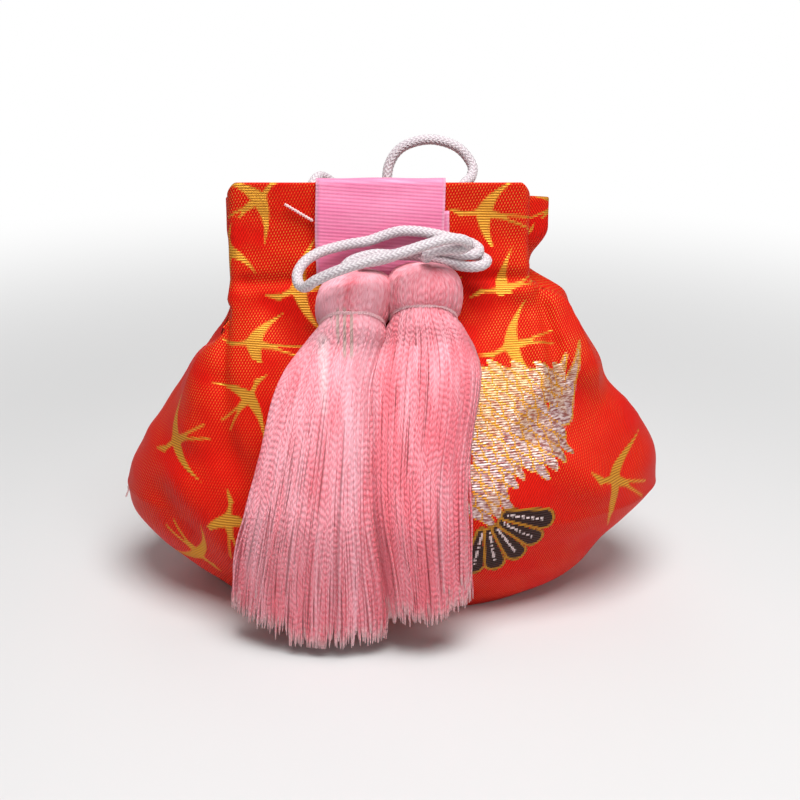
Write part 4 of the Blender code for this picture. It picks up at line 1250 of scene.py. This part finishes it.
def make_cords(cord_props):
    """The knot, its small petal, which has no solid of its own, and the cord that stands up behind."""
    material = cord_material(cord_props)
    for name, node, route in (
        ("knot_cord_braid", "knot_cord", KNOT_ROUTE), ("knot_petal_braid", None, PETAL_ROUTE),
        ("hanging_cord_braid", "hanging_cord", HANGING_ROUTE),
    ):
        make_cord(name, node, route, cord_props, material)


def make_thread(names, body, centres, radius, material, twist_length, sides=8):
    """Two plies turned about each other along a line, once in each twist length, as closed tubes."""
    name, node = names
    count = len(centres)
    side, up = carried_frame(centres)
    along = length_along(centres)
    plies = []
    for ply in (0.0, math.pi):
        turn = (FULL_TURN * along / twist_length + ply)[:, None]
        plies.append(centres + PLY_PLACE * radius * (side * np.cos(turn) + up * np.sin(turn)))
    thick = np.full((2, count), PLY_RADIUS * radius)
    thick[:, -1] *= 0.6
    sideways, upward = np.stack([side, side]), np.stack([up, up])
    skin, quads, tris, quad, tri = tube_set(np.array(plies), sideways, upward, thick, sides)
    quad_uv, tri_uv = tube_corner_uv(quad, tri, sides, count, np.stack([along, along]) / MM)
    piece = make_piece(name, skin, quads, quad_uv, tris, tri_uv)
    dress(piece, material, node, body)


def make_loose_ends():
    """The stiff thread end beside the ribbon, and the tiny loose thread at the bag's left corner.

    The thread end rises to the left in front of the neck. The loose thread falls from its box's top corner.
    """
    material = thread_material("thread", (0.93, 0.7, 0.7), 0.55)
    share = np.linspace(0, 1, 60)
    z = NECK_HEIGHT - THREAD_END_DROP + THREAD_END_RISE * share
    x = RIBBON_CENTRE - RIBBON_WIDTH / 2 - THREAD_END_GAP - THREAD_END_RUN * share
    y = FRONT.at(0.0, z) - (GAP + THREAD_END_RADIUS + THREAD_END_LIFT * share)
    names = ("thread_end_twist", "thread_end")
    line = np.stack([x, y, z], axis=1)
    make_thread(names, "pouch", line, THREAD_END_RADIUS, material, THREAD_END_TWIST)

    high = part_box("loose_thread")[1]
    start = np.array(high) - np.array(LOOSE_THREAD_INSET)
    share = np.linspace(0, 1, 40)
    line = start - np.array(LOOSE_THREAD_FALL) * share[:, None]
    line[:, 0] += LOOSE_THREAD_BEND * np.sin(share * 5.0)
    names = ("loose_thread_twist", "loose_thread")
    make_thread(names, "pouch", line, LOOSE_THREAD_RADIUS, material, LOOSE_THREAD_TWIST)


# Tassels


def tassel_levels(right):
    """Height, inner edge, outer edge and depth of each level, from the crown down to the skirt's end."""
    side = 1.0 if right else -1.0
    inner = TASSEL_PARTING - side * 0.05 * MM
    spread, top, end = SKIRT_SPREAD[right], HEAD_TOP[right], SKIRT_END[right]
    waist = top - HEAD_LENGTH
    head_width = spread * SKIRT_EDGE[right][1][-1]
    rows = []
    for rise, squeeze in HEAD_PROFILE:
        height = waist + WAIST_LENGTH + (HEAD_LENGTH - WAIST_LENGTH) * rise
        middle = inner + side * head_width * (0.5 - (0.0 if right else 0.12) * rise)
        half = (head_width / 2 + 0.35 * MM) * squeeze
        rows.append((height, middle - side * half, middle + side * half, TASSEL_DEPTH * squeeze))
    pinch = 0.95 * MM
    rows.append((waist + 0.8 * MM, inner, inner + side * head_width, TASSEL_DEPTH * 0.95))
    rows.append((waist, inner + side * pinch, inner + side * (head_width - pinch), TASSEL_DEPTH - 2 * pinch))
    for share in SKIRT_SHARES:
        outer = inner + side * spread * float(read_curve(SKIRT_EDGE[right], share))
        depth = TASSEL_DEPTH * (1 - 0.22 * (1 - share))
        rows.append((end + (waist - WAIST_LENGTH * 0.5 - end) * share, inner, outer, depth))
    return np.array(rows)


def level_stations(rows):
    """Share of the way down the tassel's surface at which each level lies."""
    length = np.concatenate([[0.0], np.cumsum(np.hypot(np.diff(rows[:, 0]), np.diff(rows[:, 3]) / 2))])
    return length / length[-1]


def tassel_point(right, across, inward, station, drop=0.0):
    """A point of the tassel: across (-1 to 1) over its width, inward (-1 back to 1 front) through its depth.

    station is 0 at the crown and 1 at the skirt's end; arrays of strands by stations. Near the waist a point
    sags, and less so in front. Where the two tassels meet, both lean to the left on the way down.
    """
    rows = tassel_levels(right)
    length = level_stations(rows)
    height, inner, outer, depth = (np.interp(station, length, rows[:, column]) for column in range(4))
    x = (inner + outer) / 2 + np.abs(outer - inner) / 2 * across
    start = HEAD_TOP[False] - 2 * HEAD_LENGTH
    ribbon_stack = 2 * (GAP + RIBBON_THICKNESS)
    forward = ribbon_stack * smooth_step((height - start) / (HEAD_LENGTH - WAIST_LENGTH))
    on_bag = np.maximum(height, BELLY_HEIGHT)
    back = FRONT.at(x, on_bag) - TASSEL_CLEARANCE - forward
    y = back - TASSEL_DEPTH / 2 - depth / 2 * inward
    waist = HEAD_TOP[right] - HEAD_LENGTH
    above = smooth_step((HEAD_TOP[right] - height) / HEAD_LENGTH)
    below = 1 - smooth_step((waist - height) / (16 * MM))
    near_waist = np.where(height > waist, above, below)
    sag = (WAIST_SAG + SIDE_SAG * (1 - np.clip(inward, 0, 1))) * near_waist
    falling = smooth_step((waist - height) / (14 * MM)) * smooth_step((height - 8 * MM) / (26 * MM))
    closeness = np.exp(-(((x - TASSEL_PARTING) / PARTING_WIDTH) ** 2))
    x = x - PARTING_LEAN * falling * closeness
    return np.stack([x, y, height - sag - drop], axis=-1)


def strand_set(right, tassel_props):
    """Hundreds of strands, each in its own place of the tassel's section from crown to tip.

    They gather in locks on the way down and wiggle, some stray, and their tips end on a slant. Returns their
    centres, two directions across each, the radius, a value for each strand and the stations.
    """
    random = np.random.default_rng(STRAND_SEEDS[right])
    count = tassel_props.strand_count if right else int(tassel_props.strand_count * EXTRA_LEFT_STRANDS)
    angle = FULL_TURN * (np.arange(count) * GOLDEN_STEP % 1.0)

    # Most strands lie in the skin and the rest inside; the skin gathers in locks on the way down
    outer_share, core_share = random.uniform(0.955, 1.0, count), random.uniform(0.4, 0.9, count)
    depth_share = np.where(random.random(count) < 0.86, outer_share, core_share)
    locks = LOCK_COUNT[right]
    pull = 0.022 * np.sin(locks * angle + 1.3) + 0.012 * np.sin(2.3 * locks * angle)
    stations = np.concatenate([np.linspace(0, 0.14, 12, endpoint=False), np.linspace(0.14, 1.0, 32)])
    down = smooth_step((stations - 0.15) / 0.7)
    spread_angle = angle[:, None] + pull[:, None] * down[None]
    wiggle = random.uniform(0, FULL_TURN, (2, count, 1))
    sway = 0.02 * np.sin(stations[None] * random.uniform(5, 13, (count, 1)) + wiggle[0]) * down[None]
    radial = depth_share[:, None] + 0.012 * np.sin(stations[None] * 17 + wiggle[1])
    bundle = 1 - 0.03 * (0.5 + 0.5 * np.cos(locks * angle + 1.3))[:, None] * down[None]
    across = radial * bundle * np.cos(spread_angle) + sway
    inward = radial * bundle * np.sin(spread_angle)

    # A few strands stray from the rest, and the tips differ in length on top of the skirt's slant
    stray = random.random(count) < 0.05
    across = across + np.where(stray, random.normal(0, 0.06, count), 0)[:, None] * down[None] ** 2
    inward = inward + np.where(stray, np.abs(random.normal(0, 0.12, count)), 0)[:, None] * down[None] ** 2
    tips = random.uniform(-1.8, 2.0, count) + np.where(stray, random.uniform(-2.0, 4.0, count), 0.0)
    edge = np.cos(angle)
    if right:
        slant = 2.6 * smooth_step(edge) - 0.6
    else:
        slant = 4.6 * smooth_step(-edge) + 1.6 * smooth_step(edge) - 2.2
    reach = 1 - np.clip((tips + slant) * MM / SKIRT_LENGTH, -0.05, 0.4)
    station = stations[None] * np.minimum(reach, 1.0)[:, None]
    longer = np.maximum(reach - 1.0, 0)[:, None] * SKIRT_LENGTH * smooth_step((stations[None] - 0.7) / 0.3)

    # Centres above the table, a direction round the tassel across each strand, and thin ends
    centres = tassel_point(right, across, inward, station, longer)
    centres[..., 2] = np.maximum(centres[..., 2], 0.4 * MM)
    tangent = np.gradient(centres, axis=1)
    tangent /= np.maximum(np.linalg.norm(tangent, axis=2, keepdims=True), 1e-12)
    sideways = np.stack([-np.sin(spread_angle), -np.cos(spread_angle) * 0.6, 0 * spread_angle], axis=2)
    sideways -= tangent * (sideways * tangent).sum(axis=2, keepdims=True)
    sideways /= np.maximum(np.linalg.norm(sideways, axis=2, keepdims=True), 1e-6)
    other = np.cross(tangent, sideways)
    thickness = tassel_props.strand_diameter / 2 * random.uniform(0.8, 1.2, (count, 1))
    radius = np.repeat(thickness, len(stations), axis=1)
    radius[:, 0] *= 0.5
    radius[:, -1] *= 0.35
    return centres, sideways, other, radius, random.random(count), stations


def tassel_core(right):
    """A smooth body just under the strands, so that nothing behind the tassel shows between them.

    Gives its points, both kinds of face, and a UV pair a point: the station and a value like a strand's own.
    """
    turn = np.linspace(0, FULL_TURN, 72, endpoint=False)
    shares = np.concatenate([np.linspace(0.005, 0.14, 14), np.linspace(0.17, 0.955, 24)])
    across, inward = CORE_SHARE * np.cos(turn)[None], CORE_SHARE * np.sin(turn)[None]
    core = tassel_point(right, across, inward, shares[:, None])
    rows, columns = core.shape[:2]
    station = np.concatenate([np.repeat(shares, columns), [0.0, 0.95]])
    value = np.tile(np.abs(np.sin(np.arange(columns)[::-1] * 2.4)), rows)
    uv = np.stack([station, np.concatenate([value, [0.5, 0.5]])], axis=1)
    return ring_points(core), ring_faces(rows, columns).reshape(-1, 4), end_fans(rows, columns), uv


def make_tassel(right, tassel_props, material):
    """The strands, as tubes with three sides, and the core under them, as one piece."""
    centres, side, other, radius, value, stations = strand_set(right, tassel_props)
    points, quads, tris, quad, tri = tube_set(centres, side, other, radius, 3)
    along = np.broadcast_to(stations, centres.shape[:2])
    quad_uv, tri_uv = tube_corner_uv(quad, tri, 3, len(stations), along, value)
    core_points, core_quads, core_tris, core_uv = tassel_core(right)
    shift = len(points)
    name = "tassel_right" if right else "tassel_left"
    piece = make_piece(
        name + "_threads", np.concatenate([points, core_points]), np.concatenate([quads, core_quads + shift]),
        np.concatenate([quad_uv, core_uv[core_quads]]), np.concatenate([tris, core_tris + shift]),
        np.concatenate([tri_uv, core_uv[core_tris]]),
    )
    dress(piece, material, name, "right_tassel" if right else "left_tassel")


def make_binding(right, material):
    """Thread wound round the waist: a helix pressed to the tassel's section, each turn a little lower."""
    angle = np.linspace(0, FULL_TURN * BINDING_TURNS, BINDING_TURNS * 96)
    waist_level = len(HEAD_PROFILE) + 1
    station = np.full_like(angle, level_stations(tassel_levels(right))[waist_level])
    line = tassel_point(right, BINDING_SWELL * np.cos(angle), BINDING_SWELL * np.sin(angle), station)
    line[:, 2] += BINDING_PITCH * (BINDING_TURNS / 2 - angle / FULL_TURN)
    name = "right" if right else "left"
    names = (f"binding_{name}_wraps", f"binding_{name}")
    make_thread(names, f"{name}_tassel", line, BINDING_RADIUS, material, BINDING_TWIST, 6)


# Settings


class PouchClothSettings(bpy.types.PropertyGroup):
    twill_pitch: bpy.props.FloatProperty(
        name="Twill pitch", description="Distance between the diagonal ribs of the ground",
        default=0.46 * MM, min=0.1 * MM, unit="LENGTH", precision=5,
    )
    relief: bpy.props.FloatProperty(
        name="Relief", description="How far the woven threads stand out",
        default=0.11 * MM, min=0.0, unit="LENGTH", precision=5,
    )
    ground_colour: bpy.props.FloatVectorProperty(
        name="Ground colour", description="Red of the ground", default=(0.82, 0.012, 0.006),
        subtype="COLOR", min=0.0, max=1.0,
    )
    gold_colour: bpy.props.FloatVectorProperty(
        name="Gold colour", description="Colour of the gold threads", default=(0.88, 0.42, 0.05),
        subtype="COLOR", min=0.0, max=1.0,
    )


class PouchCordSettings(bpy.types.PropertyGroup):
    braid_pitch: bpy.props.FloatProperty(
        name="Braid pitch", description="Length of one chevron along the cord",
        default=0.85 * MM, min=0.2 * MM, unit="LENGTH", precision=5,
    )
    braid_columns: bpy.props.IntProperty(
        name="Braid columns", description="Chevrons round the cord", default=6, min=2, max=12,
    )
    colour: bpy.props.FloatVectorProperty(
        name="Cord colour", description="Colour of the cord's raised threads", default=(0.88, 0.84, 0.85),
        subtype="COLOR", min=0.0, max=1.0,
    )


class PouchRibbonSettings(bpy.types.PropertyGroup):
    rib_pitch: bpy.props.FloatProperty(
        name="Rib pitch", description="Distance between the ribbon's cross ribs",
        default=0.62 * MM, min=0.1 * MM, unit="LENGTH", precision=5,
    )
    colour: bpy.props.FloatVectorProperty(
        name="Ribbon colour", description="Pink of the ribbon", default=(0.93, 0.27, 0.47), subtype="COLOR",
        min=0.0, max=1.0,
    )


class PouchTasselSettings(bpy.types.PropertyGroup):
    strand_count: bpy.props.IntProperty(
        name="Strands", description="Threads in the right tassel; the left one has more",
        default=560, min=20, max=900,
    )
    strand_diameter: bpy.props.FloatProperty(
        name="Strand diameter", description="Thickness of one thread",
        default=0.46 * MM, min=0.1 * MM, unit="LENGTH", precision=5,
    )
    colour: bpy.props.FloatVectorProperty(
        name="Tassel colour", description="Pink of the tassels", default=(0.93, 0.3, 0.37), subtype="COLOR",
        min=0.0, max=1.0,
    )


class PouchStageSettings(bpy.types.PropertyGroup):
    floor_colour: bpy.props.FloatVectorProperty(
        name="Floor colour", description="Colour of the floor", default=(0.72, 0.72, 0.72), subtype="COLOR",
        min=0.0, max=1.0,
    )
    key_power: bpy.props.FloatProperty(
        name="Key light", description="Power of the large lamp above", default=1.95, min=0.0, unit="POWER",
    )
    fill_power: bpy.props.FloatProperty(
        name="Fill light", description="Power of the lamp in front", default=0.25, min=0.0, unit="POWER",
    )


# Stage


def add_lamp(name, power, size, place, aim):
    """A round lamp at a place, turned towards its aim; sizes and places in metres."""
    lamp = bpy.data.lights.new(name, "AREA")
    lamp.energy = power
    lamp.shape = "DISK"
    lamp.size = size
    holder = bpy.data.objects.new(name, lamp)
    bpy.context.scene.collection.objects.link(holder)
    turn_to(holder, place, aim)


def turn_to(holder, place, aim):
    """Turns an object to look from a place towards an aim, with its own up kept upright."""
    away = np.array(place) - np.array(aim)
    flat = math.hypot(away[0], away[1])
    holder.location = place
    holder.rotation_euler = (math.atan2(flat, away[2]), 0.0, math.atan2(away[0], -away[1]))


def add_camera():
    camera = bpy.data.cameras.new("camera")
    camera.lens = CAMERA_LENS
    camera.sensor_width = 36.0
    camera.clip_start = 0.01
    holder = bpy.data.objects.new("camera", camera)
    bpy.context.scene.collection.objects.link(holder)
    tilt = math.radians(CAMERA_TILT)
    forward, rise = CAMERA_DISTANCE * math.cos(tilt), CAMERA_DISTANCE * math.sin(tilt)
    turn_to(holder, (CAMERA_AIM[0], -forward, CAMERA_AIM[2] + rise), CAMERA_AIM)
    bpy.context.scene.camera = holder


def add_sky():
    """A plain world: white to the camera, and a weaker light for the pieces."""
    world = bpy.data.worlds.new("studio")
    bpy.context.scene.world = world
    world.use_nodes = True
    nodes, links = world.node_tree.nodes, world.node_tree.links
    sky = nodes["Background"]
    rays = nodes.new("ShaderNodeLightPath")
    seen = nodes.new("ShaderNodeMath")
    seen.operation = "MAXIMUM"
    links.new(rays.outputs["Is Camera Ray"], seen.inputs[0])
    links.new(rays.outputs["Is Transmission Ray"], seen.inputs[1])
    strength = nodes.new("ShaderNodeMapRange")
    strength.inputs["To Min"].default_value = SKY_LIGHT
    strength.inputs["To Max"].default_value = 1.0
    links.new(seen.outputs[0], strength.inputs["Value"])
    links.new(strength.outputs[0], sky.inputs["Strength"])
    sky.inputs["Color"].default_value = (1.0, 1.0, 1.0, 1.0)


def add_floor(stage_props):
    reach = FLOOR_REACH
    corners = [(-reach, -reach, 0), (reach, -reach, 0), (reach, reach, 0), (-reach, reach, 0)]
    mesh = bpy.data.meshes.new("floor")
    mesh.from_pydata(corners, [], [(0, 1, 2, 3)])
    floor = bpy.data.objects.new("floor", mesh)
    bpy.context.scene.collection.objects.link(floor)
    mesh.materials.append(floor_material(stage_props))


def make_stage(stage_props):
    """The camera, three lamps, the sky and the floor."""
    add_camera()
    add_lamp("key", stage_props.key_power, 0.28, (0.04, -0.13, 0.42), (0.0, 0.0, 0.03))
    add_lamp("fill", stage_props.fill_power, 0.3, (0.28, -0.38, 0.22), (0.0, 0.0, 0.03))
    add_lamp("back", stage_props.fill_power, 0.3, (-0.1, 0.4, 0.3), (0.0, 0.0, 0.04))
    add_sky()
    add_floor(stage_props)
    bpy.context.scene.view_settings.view_transform = "Standard"


# Operators and panel


class POUCH_OT_stage(bpy.types.Operator):
    """Add the camera, the lamps and the floor"""

    bl_idname = "pouch.make_stage"
    bl_label = "Stage"

    def execute(self, context):
        make_stage(context.scene.pouch_stage)
        return {"FINISHED"}


class POUCH_OT_cords(bpy.types.Operator):
    """Add the braided cords"""

    bl_idname = "pouch.make_cords"
    bl_label = "Cords"

    def execute(self, context):
        make_cords(context.scene.pouch_cord)
        return {"FINISHED"}


class POUCH_OT_bag(bpy.types.Operator):
    """Add the brocade bag and its lining"""

    bl_idname = "pouch.make_bag"
    bl_label = "Bag and lining"

    def execute(self, context):
        make_bag(context.scene.pouch_cloth)
        make_lining()
        return {"FINISHED"}


class POUCH_OT_ribbon(bpy.types.Operator):
    """Add the ribbon over the mouth"""

    bl_idname = "pouch.make_ribbon"
    bl_label = "Ribbon"

    def execute(self, context):
        make_ribbon(context.scene.pouch_ribbon)
        return {"FINISHED"}


class POUCH_OT_threads(bpy.types.Operator):
    """Add the thread end and the loose thread"""

    bl_idname = "pouch.make_threads"
    bl_label = "Loose threads"

    def execute(self, context):
        make_loose_ends()
        return {"FINISHED"}


class POUCH_OT_tassels(bpy.types.Operator):
    """Add the two tassels and the thread that binds each"""

    bl_idname = "pouch.make_tassels"
    bl_label = "Tassels"

    def execute(self, context):
        silk = tassel_material(context.scene.pouch_tassel)
        wrap = thread_material("binding_thread", (0.97, 0.62, 0.66), 0.5)
        for right in (False, True):
            make_tassel(right, context.scene.pouch_tassel, silk)
            make_binding(right, wrap)
        return {"FINISHED"}


class POUCH_PT_panel(bpy.types.Panel):
    """Lists the pieces of the pouch and their settings"""

    bl_idname = "POUCH_PT_panel"
    bl_label = "Pouch"
    bl_space_type = "VIEW_3D"
    bl_region_type = "UI"
    bl_category = "Pouch"

    def draw(self, context):
        for operator in OPERATORS:
            self.layout.operator(operator.bl_idname)
        for name, group in SETTINGS:
            box = self.layout.box()
            for field in group.__annotations__:
                box.prop(getattr(context.scene, name), field)


OPERATORS = (
    POUCH_OT_stage, POUCH_OT_cords, POUCH_OT_bag, POUCH_OT_ribbon, POUCH_OT_threads, POUCH_OT_tassels,
)
SETTINGS = (
    ("pouch_cloth", PouchClothSettings), ("pouch_cord", PouchCordSettings),
    ("pouch_ribbon", PouchRibbonSettings), ("pouch_tassel", PouchTasselSettings),
    ("pouch_stage", PouchStageSettings),
)


def register():
    for name, group in SETTINGS:
        bpy.utils.register_class(group)
        setattr(bpy.types.Scene, name, bpy.props.PointerProperty(type=group))
    for part in (*OPERATORS, POUCH_PT_panel):
        bpy.utils.register_class(part)


def unregister():
    for part in (POUCH_PT_panel, *reversed(OPERATORS)):
        bpy.utils.unregister_class(part)
    for name, group in reversed(SETTINGS):
        delattr(bpy.types.Scene, name)
        bpy.utils.unregister_class(group)


def main():
    register()
    bpy.ops.pouch.make_stage()
    bpy.ops.pouch.make_cords()
    bpy.ops.pouch.make_bag()
    bpy.ops.pouch.make_ribbon()
    bpy.ops.pouch.make_threads()
    bpy.ops.pouch.make_tassels()


if __name__ == "__main__":
    main()
